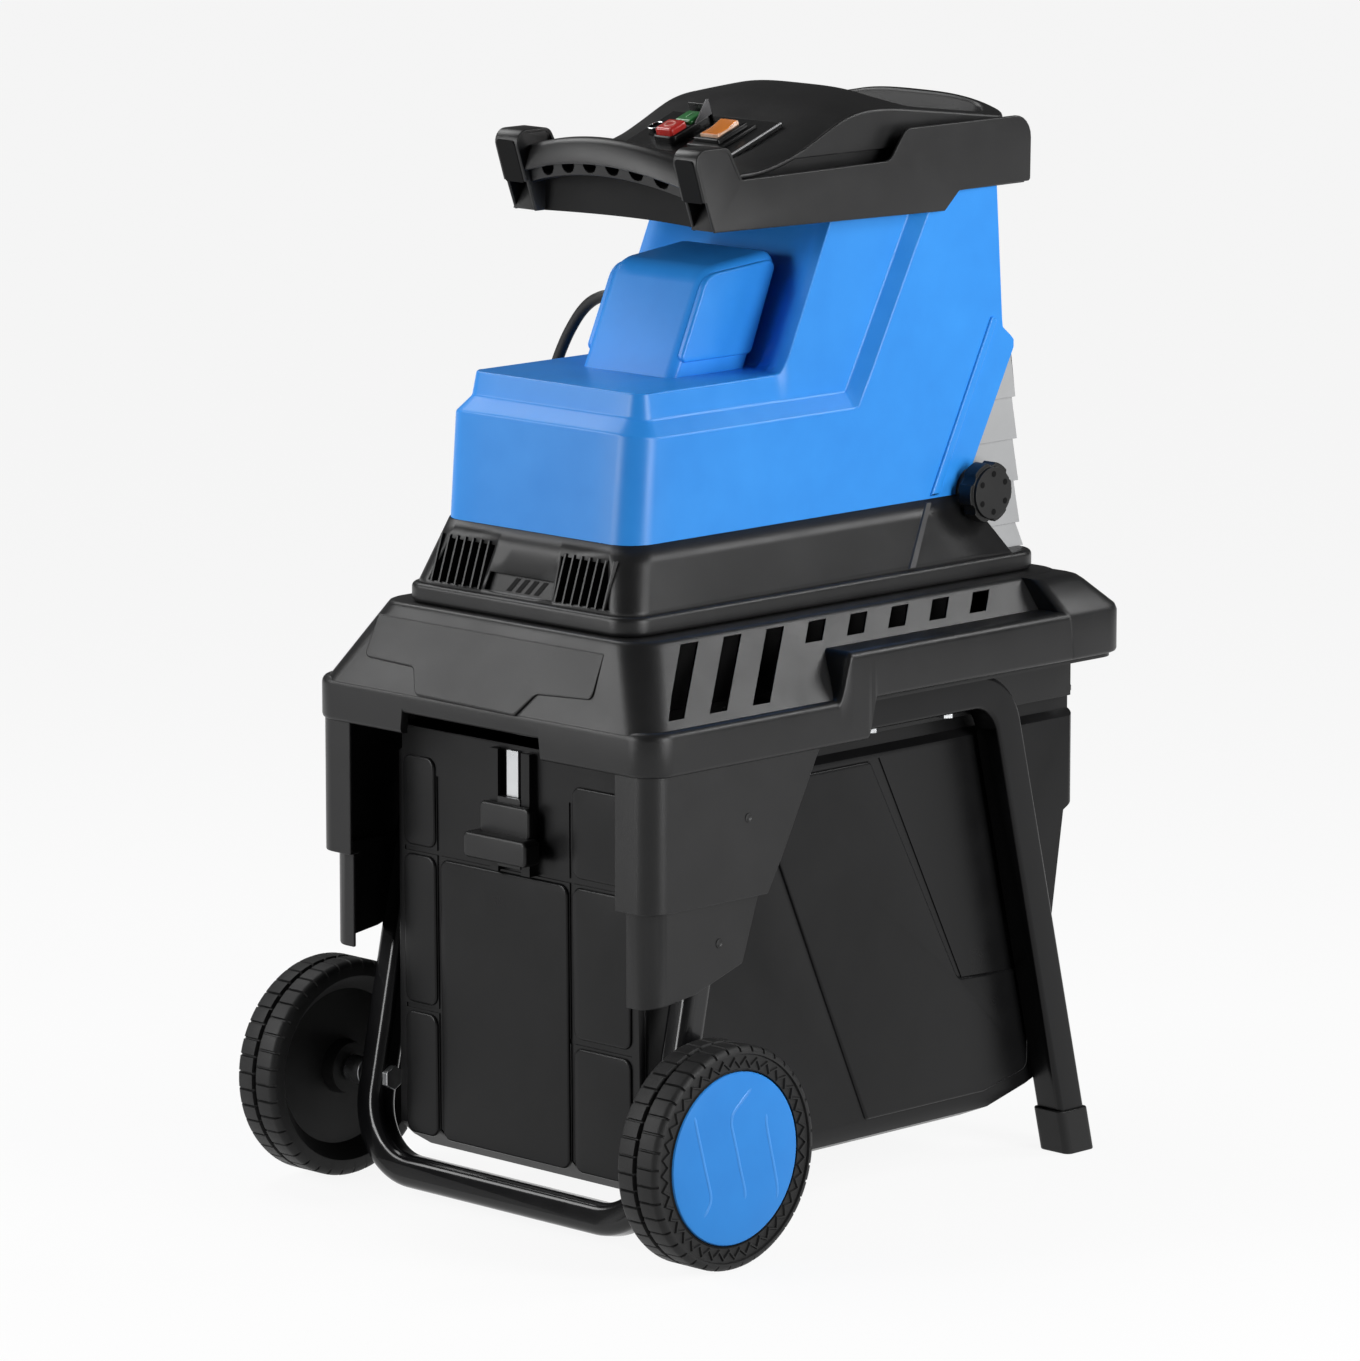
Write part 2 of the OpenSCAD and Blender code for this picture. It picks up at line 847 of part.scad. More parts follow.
module box_rails() {
  color("#262628")
    both_sides()
      rail_form();
}

// Collection box

module box_form(i) {
  up = i > 0 ? 20 : 0;
  neck_z = box_top - box_lip - neck_h;
  lip_in = i > 0 ? neck_in + i : 0;
  intersection() {
    slab(box_hw - i, -box_front + i, box_rear - i, 10, box_floor - lap, box_top + 2 * lap + up);
    yz([[-box_front + i, box_top + up], [-box_front + 3 + i, box_floor + 20],
      [-box_front + 20, box_floor + i], [box_rear - 123, box_floor + i],
      [box_rear - 51 - i, box_floor + 26 + i], [box_rear - 15 - i, box_top - 109],
      [box_rear - i, box_top - 101], [box_rear - i, box_top + up]], -box_hw, box_hw);
    xz(halves([[box_hw - 22 - i, box_floor + i - lap], [box_hw - 22 - i, box_floor + i],
      [box_hw - 7 - i, box_floor + 7 + i], [box_hw - i, box_floor + 22], [box_hw - i, neck_z - i],
      [box_hw - neck_in - i, neck_z + 5 - i], [box_hw - neck_in - i, box_top - box_lip],
      [box_hw - lip_in, box_top - box_lip], [box_hw - lip_in, box_top + up]]), -rim_w, rim_w);
  }
}

module lock_track() {
  both_sides()
    translate([0, 0, lock_low - 12])
      linear_extrude(box_top - lock_low + 8)
        polygon([[18, -box_front + box_wall], [24, -box_front + box_wall], [24, lock_face + 1],
          [rod_w, lock_face + 1], [rod_w, lock_face + 3.7], [18, lock_face + 3.7]]);
}

// Moulded lines of the box's front and sides
module box_lines() {
  for (x = [-97, 64])
    block(x, x + line_w, -box_rear, 0, box_floor + 12, box_top - 40);
  for (z = [box_floor + 122, box_top - 109])
    block(-box_hw + 12, box_hw - 12, -box_rear, 0, z, z + line_w);
  both_sides() {
    yz([[59, box_top - 30], [59 + line_w, box_top - 30], [168 + line_w, box_floor + 123],
      [box_rear - 56, box_floor + 118], [box_rear - 56, box_floor + 118 - line_w],
      [168, box_floor + 123 - line_w]], box_hw - 10, rim_w);
    yz([[-57, box_top - 110], [-57 + line_w, box_top - 110], [49 + line_w, box_floor + 24],
      [49, box_floor + 24]], box_hw - 10, rim_w);
  }
}

module collection_box() {
  color("#2a2a2c")
    union() {
      difference() {
        box_form(0);
        box_form(box_wall);
        difference() {
          box_lines();
          box_form(line_deep);
        }
      }
      lock_track();
    }
}

module lock_slider() {
  base_top = lock_low + 53;
  color("#2f2f31") {
    block(-17.7, 17.7, lock_face + 4, -box_front - slide_gap, lock_low - 7, base_top);
    block(-rod_w + slide_gap, rod_w - slide_gap, lock_face, lock_face + 4, lock_low - 7, base_top);
    block(-grip_w / 2 + 8, grip_w / 2 - 8, lock_face - 6, lock_face + 0.7, lock_low + 22, lock_low + 48);
    block(-grip_w / 2, grip_w / 2, lock_face - 18, lock_face + 0.7, lock_low, lock_low + 22);
  }
}

module lock_rod() {
  color("silver")
    block(-rod_w / 2, rod_w / 2, lock_face + 4.4, lock_face + 7.5, lock_low + 53, box_top - 4);
}

module safety_switch() {
  color("#303236")
    block(rod_w / 2 + 3, rod_w / 2 + 23, -box_front - 12, -box_front + 6, deck_h + deck_t,
      deck_h + deck_t + 24);
}

// Lower housing

function rear_lean(z) = 203 + (housing_top - z) * 42 / housing_h;

module housing_taper(i) {
  rear = flange_rear + 10;
  intersection() {
    hull() {
      slab(flange_hw - 4 - i, -flange_front + 4 + i, rear, 18, flange_top - lap, flange_top);
      slab(hood_hw + 1 - i, -hood_front - 1 + i, rear, 18, housing_top, housing_top + lap);
    }
    yz([[-rim_w, flange_top - lap], [rear_lean(flange_top) - i, flange_top - lap],
      [rear_lean(housing_top) - i, housing_top + (i > 0 ? lap : 0)],
      [-rim_w, housing_top + (i > 0 ? lap : 0)]], -flange_hw, flange_hw);
  }
}

module front_grilles() {
  pitch = 9.4;
  slot = 5;
  for (s = [-1, 1], k = [0 : grille_slots - 1])
    let (x = s * (48 + pitch * k))
      block(x - slot / 2, x + slot / 2, -flange_front - lap, -hood_front + 12, flange_top + 5,
        housing_top - 16);
  for (k = [-2 : 1])
    xz([[k * 20 + 4, flange_top + 3], [k * 20 + 12, flange_top + 3], [k * 20 + 18, flange_top + 18],
      [k * 20 + 10, flange_top + 18]], -flange_front - lap, -hood_front + 12);
}

// Way through the slanted rear end, between the sides of the rear cover
module rear_way() {
  reach = 20;
  yz([[rear_lean(flange_top) - reach, flange_top], [rear_lean(flange_top) + reach, flange_top],
    [rear_lean(housing_top) + reach, housing_top + lap], [rear_lean(housing_top) - reach, housing_top + lap]],
    -cover_hw - seam, cover_hw + seam);
}

module boss_hole() {
  rod_x(40, hood_hw - 40, hood_hw + 40, roller_y, axis_z);
}

module lower_housing() {
  color("#232325")
    difference() {
      union() {
        slab(flange_hw, -flange_front, flange_rear, 20, chassis_top, flange_top);
        housing_taper(0);
        block(-chip_hw, chip_hw, chute_y0 - 6, chute_y1 + 6, deck_h + 2, chassis_top + lap);
      }
      housing_taper(shell);
      slab(hood_hw - 8, -hood_front + 3, flange_rear - 14, 16, floor_z, flange_top + lap);
      block(-chute_hw, chute_hw, chute_y0 - 2, chute_y1 + 2, deck_h, floor_z + lap);
      front_grilles();
      rear_way();
      boss_hole();
    }
}

// Hood: low front part, raised block and the tower under the hopper

module hood_low(i) {
  e = i > 0 ? lap : 0;
  rear = i > 0
    ? [[300, low_top - i - 9], [300, housing_top - e]]
    : [[266, low_top], [213, housing_top + 23], [196, housing_top]];
  intersection() {
    yz(concat([[-hood_front + i, housing_top - e], [-hood_front + 8 + i, low_top - 32],
      [-hood_front + 21 + i, low_top - 20], [-hood_front + 25 + i, low_top - i], [230, low_top - i]], rear),
      -hood_hw, hood_hw);
    xz(halves([[hood_hw - i, housing_top - e], [hood_hw - i, low_top - 36],
      [hood_hw - shoulder - i, low_top - 22], [hood_hw - shoulder - 4 - i, low_top - i]]), -rim_w, rim_w);
    slab(hood_hw, -hood_front + i, rim_w, 26, housing_top - e, low_top);
  }
}

module hood_tower(i) {
  e = i > 0 ? lap : 0;
  base = low_top - (i > 0 ? 50 : 12);
  rear_top = tower_rear - i;
  rear_low = tower_rear + 10 - i;
  yz([[-13 + i, base], [-13 + i, low_top], [53 + i, tower_top + e], [rear_top, tower_top + e],
    [rear_low, low_top], [rear_low, base]], -hood_hw + shoulder + i, hood_hw - shoulder - i);
  hull()
    both_sides() {
      yz([[58 + i, low_top - 36], [152 + i, tower_top + e], [rear_top, tower_top + e], [rear_low, low_top],
        [240, low_top - 36]], hood_hw - shoulder - i - 0.5, hood_hw - shoulder - i);
      yz([[71 + i, low_top - 36], [165 + i, tower_top + e], [rear_top, tower_top + e], [rear_low, low_top],
        [240, low_top - 36]], hood_hw - i - 0.5, hood_hw - i);
    }
}

module hood_block(i) {
  top = low_top + block_h - i;
  base = low_top - (i > 0 ? 10 : 2);
  hw = block_w / 2 - i;
  soft = 12;
  intersection() {
    yz([[-96 + i, base], [-50 + i, top - 14], [-44 + i, top - 5], [-32 + i, top], [70, top], [70, base]],
      -block_w, block_w);
    xz(halves([[hw, base], [hw, top - soft], [hw - 4, top - 4], [hw - soft, top]]), -rim_w, rim_w);
  }
}

module hood() {
  color("#1f6fd6")
    difference() {
      union() {
        hood_low(0);
        hood_tower(0);
        hood_block(0);
      }
      hood_low(shell);
      hood_tower(shell);
      hood_block(shell);
      boss_hole();
      rod_x(16 + fit, gland_x - lap, gland_x + 2 * shell, gland_y, gland_z);
    }
}

// Rear cover with overlapping louvres

function louvre_line(i) =
  let (z0 = flange_top, step = (low_top - 3 - z0) / louvres)
    [for (k = [0 : louvres - 1]) each
      [[284 - 3.5 * k - i, z0 + k * step], [266 - k - i, z0 + (k + 1) * step]]];

module rear_cover() {
  open_y = cut_y0 - 10;
  roof = low_top - 3 * shell;
  color("#b9bcc0")
    difference() {
      yz(concat(louvre_line(0), [[264 + seam, low_top - shell], [213 + seam, housing_top + 23],
        [rear_lean(housing_top) + seam, housing_top], [rear_lean(flange_top) + seam, flange_top]]),
        -cover_hw, cover_hw);
      yz(concat([[open_y, flange_top - lap], [284 - shell, flange_top - lap]],
        [for (p = louvre_line(shell)) [p[0], min(p[1], roof)]], [[open_y, roof]]),
        -cover_hw + shell, cover_hw - shell);
      boss_hole();
    }
}

// Hopper

// Raised body: place along the hopper, drop of its side edges and drop of its middle below the crest
body_run = [[-94, 57, 52], [-40, 55.5, 48], [-20, 52, 42], [9, 44, 31.5], [30, 35, 24], [50, 25.5, 17],
  [65, 19, 12.4], [80, 15.5, 8.4], [97, 14, 4.6], [112, 14.6, 1.6], [124, 15.4, 0.3], [136, 16.8, 0],
  [155, 19.3, 2], [185, 23.1, 5.6], [225, 28.2, 11.2], [252, 31.5, 15.2], [268, 33, 18]];
shelf = 0.82;
crown_at = [1, shelf, 0.76, 0.69, 0.61, 0.52, 0.4, 0.2];

// Cross-section with flat side shelves and a crowned middle
function crown_z(t, edge, crown) = t < shelf ? edge + (crown - edge) * (1 - pow(t / shelf, 4)) : edge;

function body_section(y, hw, edge, crown, base) =
  concat([[-hw, y, base], [0, y, base], [hw, y, base]],
    [for (t = crown_at) [hw * t, y, crown_z(t, edge, crown)]], [[0, y, crown]], [for (k = [1 : len(crown_at)])
      let (t = crown_at[len(crown_at) - k])
        [-hw * t, y, crown_z(t, edge, crown)]]);

module hopper_body(i) {
  crest = tower_top + hump_h - i;
  base = tower_top + (i > 0 ? shell : 1);
  last = len(body_run) - 1;
  loft([for (k = [0 : last])
    let (p = body_run[k], y = p[0] + (k == 0 ? i : 0) - (k == last ? i : 0))
      body_section(y, body_hw - i, crest - p[1], crest - p[2], base)]);
}

module side_wall() {
  yz([[-108, tower_top - 10], [173, tower_top - 16], [191, tower_top], [hopper_rear - 2, tower_top + 1],
    [hopper_rear, side_top + 8], [hopper_rear - 6, side_top + 20], [hopper_rear - 18, side_top + 26],
    [122, side_top + 26], [104, side_top], [-72, side_top], [-92, side_top + 4], [-98, lip_z - 8],
    [-108, lip_z - 1], [-124, lip_z - 1], [-133, lip_z - 9]], hopper_hw - shell, hopper_hw);
}

module horn() {
  difference() {
    yz([[-108, tower_top - 10], [-92, tower_top - 10], [-92, side_top + 4], [-98, lip_z - 8],
      [-108, lip_z - 1], [-124, lip_z - 1], [-133, lip_z - 9]], horn_in, hopper_hw);
    yz([[-140, tower_top - 20], [-98, tower_top - 2], [-98, side_top], [-106, lip_z - 10],
      [-140, lip_z - 10]], horn_in + shell, hopper_hw - shell);
  }
}

// Grip lip: an arched strip with a curled front edge and finger notches
module grip_lip() {
  arch_r = (horn_in * horn_in + lip_sag * lip_sag) / (2 * lip_sag);
  turn = asin(horn_in / arch_r) + 0.4;
  centre = lip_z - arch_r;
  intersection() {
    translate([0, 0, centre])
      rotate([90, 0, 0])
        rotate([0, 0, 90 - turn])
          rotate_extrude(angle = 2 * turn, $fn = 200)
            polygon([[arch_r - 20, 90], [arch_r - 17, 90], [arch_r - 4, 118], [arch_r - 6, 124],
              [arch_r - 20, 130], [arch_r - 21, 127], [arch_r - 30, 120], [arch_r - 30, 117],
              [arch_r - 10, 121], [arch_r - 7.5, 117]]);
    block(-horn_in - lap, horn_in + lap, -140, -80, side_top - 20, lip_z + lap);
  }
}

module mouth_form(i) {
  hull() {
    slab(mouth_hw + i, mouth_y0 - i, mouth_y1 + i, 24, tower_top + hump_h, tower_top + hump_h + lap);
    slab(throat_hw + i, throat_y0 - i, throat_y1 + i, 20, tower_top - lap, tower_top);
  }
}

module on_panel() {
  translate([0, panel_y, panel_z])
    rotate([panel_tilt, 0, 0])
      children();
}

module hopper() {
  color("#2c2c2e")
    difference() {
      union() {
        both_sides() {
          side_wall();
          horn();
        }
        grip_lip();
        block(-hopper_hw + shell - 1, hopper_hw - shell + 1, -95, hopper_rear - 2, tower_top, floor_top);
        block(-horn_in - 1, horn_in + 1, -95, -92, tower_top - 10, side_top + 4);
        block(-hopper_hw + 1, hopper_hw - 1, hopper_rear - 2 - shell, hopper_rear - 2, tower_top + 1,
          side_top + 14);
        difference() {
          hopper_body(0);
          hopper_body(shell);
        }
        intersection() {
          hopper_body(0);
          mouth_form(shell);
        }
      }
      mouth_form(0);
      on_panel()
        block(-panel_w / 2 - button_gap, panel_w / 2 + button_gap, -button_gap, panel_l + button_gap, -9, 12);
    }
}

module feed_chute() {
  foot = cut_top;
  knee = case_z1 + 8;
  color("#2b2b2d")
    difference() {
      union() {
        block(cut_x0, cut_x2, cut_y0 + cut_wall + 0.3, cut_y1, foot, foot + shell);
        block(-chute_hw - shell, chute_hw + shell, chute_y0 - shell + 0.3, chute_y1 + shell, foot, knee);
        hull() {
          block(-chute_hw - shell, chute_hw + shell, chute_y0 - shell + 0.3, chute_y1 + shell, knee - lap,
            knee);
          slab(throat_hw + shell, throat_y0 - shell, throat_y1 + shell, 20, tower_top - lap, tower_top);
        }
      }
      block(-chute_hw, chute_hw, chute_y0 + 0.3, chute_y1, foot - lap, knee + lap);
      hull() {
        block(-chute_hw, chute_hw, chute_y0 + 0.3, chute_y1, knee - 1, knee);
        slab(throat_hw, throat_y0, throat_y1, 20, tower_top, tower_top + lap);
      }
    }
}

// Controls, placed on the sloping panel: x across, y up the slope, z out of the panel

module control_panel() {
  color("#1d1d1f")
    on_panel()
      difference() {
        block(-panel_w / 2, panel_w / 2, 0, panel_l, -4, 1);
        block(bezel_x - button_s / 2 - 1, bezel_x + button_s / 2 + 1, bezel_v - button_s - 3,
          bezel_v + button_s + 3, -9, 9);
        block(rocker_x - rocker_w / 2 - 1, rocker_x + rocker_w / 2 + 1, rocker_v - rocker_l / 2 - 1,
          rocker_v + rocker_l / 2 + 1, -9, 9);
        translate([reset_x, reset_v, -9])
          cylinder(d = reset_d + 2 * button_gap, h = 18);
      }
}

function button_v(k) = bezel_v + k * (button_s / 2 + 2);

module switch_bezel() {
  hw = button_s / 2 + 3;
  color("#18181a")
    on_panel()
      difference() {
        block(bezel_x - hw, bezel_x + hw, bezel_v - button_s - 5, bezel_v + button_s + 5, 1, bezel_t);
        for (k = [-1, 1])
          block(bezel_x - button_s / 2 - button_gap, bezel_x + button_s / 2 + button_gap,
            button_v(k) - button_s / 2 - button_gap, button_v(k) + button_s / 2 + button_gap,
            -lap, bezel_t + lap);
      }
}

module push_button(k, top) {
  on_panel() {
    block(bezel_x - button_s / 2, bezel_x + button_s / 2, button_v(k) - button_s / 2,
      button_v(k) + button_s / 2, 3, top);
    block(bezel_x - 3, bezel_x + 3, button_v(k) - 3, button_v(k) + 3, -12, 3);
  }
}

module start_button() {
  color("#1f8a3c")
    push_button(1, bezel_t + 3);
}

module stop_button() {
  color("#c8201c")
    push_button(-1, bezel_t + 6);
}

module reset_button() {
  color("#d8dadc")
    on_panel()
      translate([reset_x, reset_v, -8])
        cylinder(d = reset_d, h = 15);
}

module rocker_bezel() {
  x1 = rocker_w / 2 + button_gap;
  v1 = rocker_l / 2 + button_gap;
  color("#18181a")
    on_panel()
      translate([rocker_x, rocker_v, 0])
        difference() {
          union() {
            block(-x1 - 9, x1 + 9, -v1 - 9, v1 + 9, 1, 4);
            block(-x1 - 4, x1 + 4, -v1 - 4, v1 + 4, 1, 8);
          }
          block(-x1, x1, -v1, v1, -lap, 9);
        }
  color("#18181a")
    on_panel()
      translate([rocker_x, rocker_v, 0])
        rod_x(pivot_d, -x1 - lap, x1 + lap, 0, pivot_n);
}

module rocker() {
  half = rocker_l / 2 - 1;
  color("#e8821e")
    on_panel()
      translate([rocker_x, rocker_v, 0])
        difference() {
          yz([[-half, 3], [half, 3], [half, 12], [0, 10], [-half, 10.5]], -rocker_w / 2, rocker_w / 2);
          rod_x(pivot_d + 2 * run, -rocker_w, rocker_w, 0, pivot_n);
        }
}

// Motor

module motor_can() {
  saddle = 24;
  color("#8b8f94")
    difference() {
      union() {
        rod_y(can_d, can_y0, case_y0, 0, axis_z);
        for (y = [can_y0 + 20, case_y0 - 20 - saddle])
          block(-can_d / 3, can_d / 3, y, y + saddle, floor_z, axis_z);
      }
      rod_y(can_d - 2 * shell, can_y0 - lap, case_y0 + lap, 0, axis_z);
    }
}

module stator() {
  color("#b06a3a")
    ring_y(can_d - 2 * shell - fit, rotor_d + 2 * air_gap, can_y0 + 20, case_y0 - 20, 0, axis_z);
}

module end_bell() {
  color("#8b8f94")
    difference() {
      rod_y(can_d, can_y0 - 8, can_y0, 0, axis_z);
      rod_y(motor_bearing_d + fit, can_y0 - 9, can_y0 + lap, 0, axis_z);
    }
}

module motor_bearings() {
  color("silver") {
    ring_y(motor_bearing_d, motor_shaft_d + 2 * run, can_y0 - 8, can_y0, 0, axis_z);
    ring_y(motor_bearing_d, motor_shaft_d + 2 * run, case_y0, case_y0 + case_wall, 0, axis_z);
  }
}

module rotor() {
  color("#9a9da1")
    ring_y(rotor_d, motor_shaft_d + fit, can_y0 + 16, case_y0 - 16, 0, axis_z);
}

module motor_shaft() {
  color("silver")
    rod_y(motor_shaft_d, can_y0 - 30, first_y + face_1 + 2, 0, axis_z);
}

module cooling_fan() {
  fan_r = can_d / 2 - 8;
  color("#3a3c40")
    difference() {
      union() {
        rod_y(motor_shaft_d + 16, can_y0 - 28, can_y0 - 10, 0, axis_z);
        rod_y(2 * fan_r, can_y0 - 13, can_y0 - 10, 0, axis_z);
        for (k = [0 : 7])
          translate([0, can_y0 - 28, axis_z])
            rotate([0, k * 45, 0])
              translate([motor_shaft_d / 2 + 4, 0, -1.25])
                cube([fan_r - motor_shaft_d / 2 - 5, 17, 2.5]);
      }
      rod_y(motor_shaft_d + fit, can_y0 - 40, can_y0, 0, axis_z);
    }
}

module capacitor() {
  cap_r = 20;
  color("#c9cbcd") {
    rod_x(2 * cap_r, -50, 50, can_y0 - 70, floor_z + cap_r + 4);
    block(-30, 30, can_y0 - 70 - 14, can_y0 - 70 + 14, floor_z, floor_z + 10);
  }
}

// Spur gears: involute flanks with a little backlash

function involute(base_r, r) =
  let (a = acos(min(1, base_r / r)))
    tan(a) * 180 / PI - a;

function flank(n, r) =
  let (pitch_r = gear_m * n / 2, base_r = pitch_r * cos(20), slack = 0.12 / pitch_r * 180 / PI)
    90 / n - slack + involute(base_r, pitch_r) - involute(base_r, max(r, base_r));

function polar(r, a) = [r * cos(a), r * sin(a)];

function gear_outline(n) =
  let (pitch_r = gear_m * n / 2, low = pitch_r - 1.25 * gear_m, tip = pitch_r + 0.9 * gear_m,
    rs = [low, max(low + 0.2, pitch_r * cos(20)), pitch_r, (pitch_r + tip) / 2, tip])
    [for (k = [0 : n - 1]) each concat(
      [for (r = rs) polar(r, 360 * k / n - flank(n, r))],
      [for (j = [len(rs) - 1 : -1 : 0]) polar(rs[j], 360 * k / n + flank(n, rs[j]))])];

module gear(n, y0, width, x, z, turn, bore) {
  difference() {
    translate([x, y0 + width, z])
      rotate([90, 0, 0])
        rotate([0, 0, turn])
          linear_extrude(width)
            polygon(gear_outline(n));
    rod_y(bore + fit, y0 - lap, y0 + width + lap, x, z);
  }
}

module motor_pinion() {
  color("silver")
    gear(teeth_a, first_y, face_1, 0, axis_z, mesh_turn, motor_shaft_d);
}

module intermediate_gear() {
  color("#9fa3a8")
    gear(teeth_b, first_y + 1, face_1 - 2, mid_x, mid_z, mesh_turn + 180 + 180 / teeth_b, mid_shaft_d);
}

module intermediate_pinion() {
  color("silver")
    gear(teeth_c, second_y, face_2, mid_x, mid_z, mesh_turn + 180 + 180 / teeth_c, mid_shaft_d);
}

module roller_gear() {
  color("#9fa3a8")
    gear(teeth_d, second_y + 1, face_2 - 2, 0, axis_z, mesh_turn, roller_shaft_d);
}

module intermediate_shaft() {
  color("silver")
    rod_y(mid_shaft_d, case_y0 + 2.3, cut_y0 + 3.7, mid_x, mid_z);
}

module gear_case() {
  thin = 4;
  color("#a4a8ad")
    difference() {
      block(case_x0, case_x1, case_y0, cut_y0, case_z0, case_z1);
      block(case_x0 + thin, case_x1 - thin, case_y0 + case_wall, cut_y0 + lap, case_z0 + thin,
        case_z1 - thin);
      rod_y(motor_bearing_d + fit, case_y0 - lap, case_y0 + case_wall + lap, 0, axis_z);
      rod_y(mid_shaft_d + 2 * run, case_y0 + 2, case_y0 + case_wall + lap, mid_x, mid_z);
    }
}

// Cutter

module roller_outline() {
  root = roller_r - 14;
  polygon([for (k = [0 : blades - 1])
    let (a = 360 * k / blades, step = 360 / blades) each [
      polar(root, a), polar(roller_r, a + 2),
      polar(roller_r, a + step * 0.3), polar(root, a + step * 0.8)]]);
}

module cutting_roller() {
  color("#7d8086")
    difference() {
      translate([0, roller_y + roller_l / 2, axis_z])
        rotate([90, 0, 0])
          linear_extrude(roller_l)
            roller_outline();
      rod_y(roller_shaft_d + fit, roller_y - roller_l, roller_y + roller_l, 0, axis_z);
    }
}

module roller_shaft() {
  color("silver")
    rod_y(roller_shaft_d, second_y - 1, cut_y1 - 0.5, 0, axis_z);
}

module roller_bearings() {
  color("silver")
    for (y = [cut_y0, cut_y1 - cut_wall])
      ring_y(bearing_d, roller_shaft_d + 2 * run, y, y + cut_wall, 0, axis_z);
}

module cutter_housing() {
  color("#a4a8ad")
    difference() {
      union() {
        block(cut_x0, cut_x2, cut_y0, cut_y1, floor_z, cut_top);
        block(case_x0, cut_x2, cut_y0, cut_y0 + cut_wall, floor_z, case_z1);
        rod_x(34, cut_x1, boss_end, roller_y, axis_z);
      }
      block(cut_x0 + 8, cut_x1, cut_y0 + cut_wall, cut_y1 - cut_wall, floor_z - lap, cut_top + lap);
      for (y = [cut_y0, cut_y1 - cut_wall])
        rod_y(bearing_d + fit, y - lap, y + cut_wall + lap, 0, axis_z);
      rod_y(mid_shaft_d + 2 * run, cut_y0 - lap, cut_y0 + 4, mid_x, mid_z);
      rod_x(screw_d + 2 * run, cut_x1 - lap, boss_end + lap, roller_y, axis_z);
    }
}

module pressure_plate() {
  color("#a5a8ac")
    difference() {
      union() {
        block(plate_x, plate_x + plate_t, roller_y - roller_l / 2, roller_y + roller_l / 2,
          axis_z - 42, axis_z + 42);
        rod_x(screw_d * 2, plate_x + plate_t - lap, nut_end, roller_y, axis_z);
      }
      rod_x(screw_d + 2 * run, screw_tip - 1, nut_end + lap, roller_y, axis_z);
    }
}

module adjusting_screw() {
  color("silver")
    rod_x(screw_d, screw_tip, knob_x + knob_t - 6, roller_y, axis_z);
}

module adjusting_knob() {
  lobes = 6;
  color("#1c1c1e")
    difference() {
      union() {
        rod_x(knob_d, knob_x, knob_x + knob_t - 3, roller_y, axis_z);
        rod_x(knob_d - 8, knob_x, knob_x + knob_t, roller_y, axis_z);
      }
      for (k = [0 : lobes - 1])
        let (a = 360 * (k + 0.5) / lobes)
          rod_x(14, knob_x - lap, knob_x + knob_t + lap, roller_y + (knob_d / 2 + 4) * cos(a),
            axis_z + (knob_d / 2 + 4) * sin(a));
      rod_x(screw_d + fit, knob_x - lap, knob_x + knob_t - 6, roller_y, axis_z);
    }
}

// Lead

module cable_gland() {
  color("#161617")
    translate([gland_x, gland_y, gland_z])
      rotate([0, -90, 0]) {
        translate([0, 0, -shell - 3])
          cylinder(d = 16, h = shell + 4);
        cylinder(d = 26, h = gland_rim);
        translate([0, 0, gland_rim])
          cylinder(d1 = 20, d2 = cord_d + 4, h = gland_l);
      }
}

// Tube round a row of points, with rings square to the way it runs
function unit(v) = v / norm(v);
function heading(p, k) = unit(p[min(k + 1, len(p) - 1)] - p[max(k - 1, 0)]);

module tube_along(p, d, sides) {
  side = [0, 1, 0];
  loft([for (k = [0 : len(p) - 1])
    let (t = k == 0 ? [-1, 0, 0] : k == len(p) - 1 ? [0, 0, -1] : heading(p, k), u = unit(cross(t, side)),
      w = cross(t, u))
      [for (j = [0 : sides - 1])
        p[k] + (u * cos(360 * j / sides) + w * sin(360 * j / sides)) * d / 2]]);
}

module mains_lead() {
  color("#131314")
    tube_along(lead_points, cord_d, 10);
}

module mains_plug() {
  pin_gap = 19;
  color("#161617")
    translate(lead_end)
      rotate([180, 0, 0]) {
        cylinder(d1 = cord_d + 3, d2 = 18, h = 18);
        translate([0, 0, 18])
          cylinder(d1 = 26, d2 = 2 * plug_r, h = 12);
        translate([0, 0, 30])
          cylinder(r = plug_r, h = 26);
        for (s = [-1, 1])
          translate([0, s * pin_gap / 2, 56])
            cylinder(d = 4.8, h = 19);
      }
}

chassis();
left_skirt();
right_skirt();
box_rails();
front_frame();
frame_plugs();
frame_bolts();
left_leg();
right_leg();
left_foot();
right_foot();
leg_bolts();
leg_nuts();
axle_bolts();
axle_spacers();
axle_nuts();
left_wheel();
right_wheel();
left_hub_cap();
right_hub_cap();
collection_box();
lock_slider();
lock_rod();
safety_switch();
lower_housing();
hood();
rear_cover();
hopper();
feed_chute();
control_panel();
switch_bezel();
rocker_bezel();
start_button();
stop_button();
reset_button();
rocker();
motor_can();
stator();
end_bell();
motor_bearings();
rotor();
motor_shaft();
cooling_fan();
motor_pinion();
gear_case();
intermediate_shaft();
intermediate_gear();
intermediate_pinion();
roller_gear();
roller_shaft();
cutting_roller();
roller_bearings();
cutter_housing();
pressure_plate();
adjusting_screw();
adjusting_knob();
capacitor();
cable_gland();
mains_lead();
mains_plug();
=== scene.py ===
import json
import math

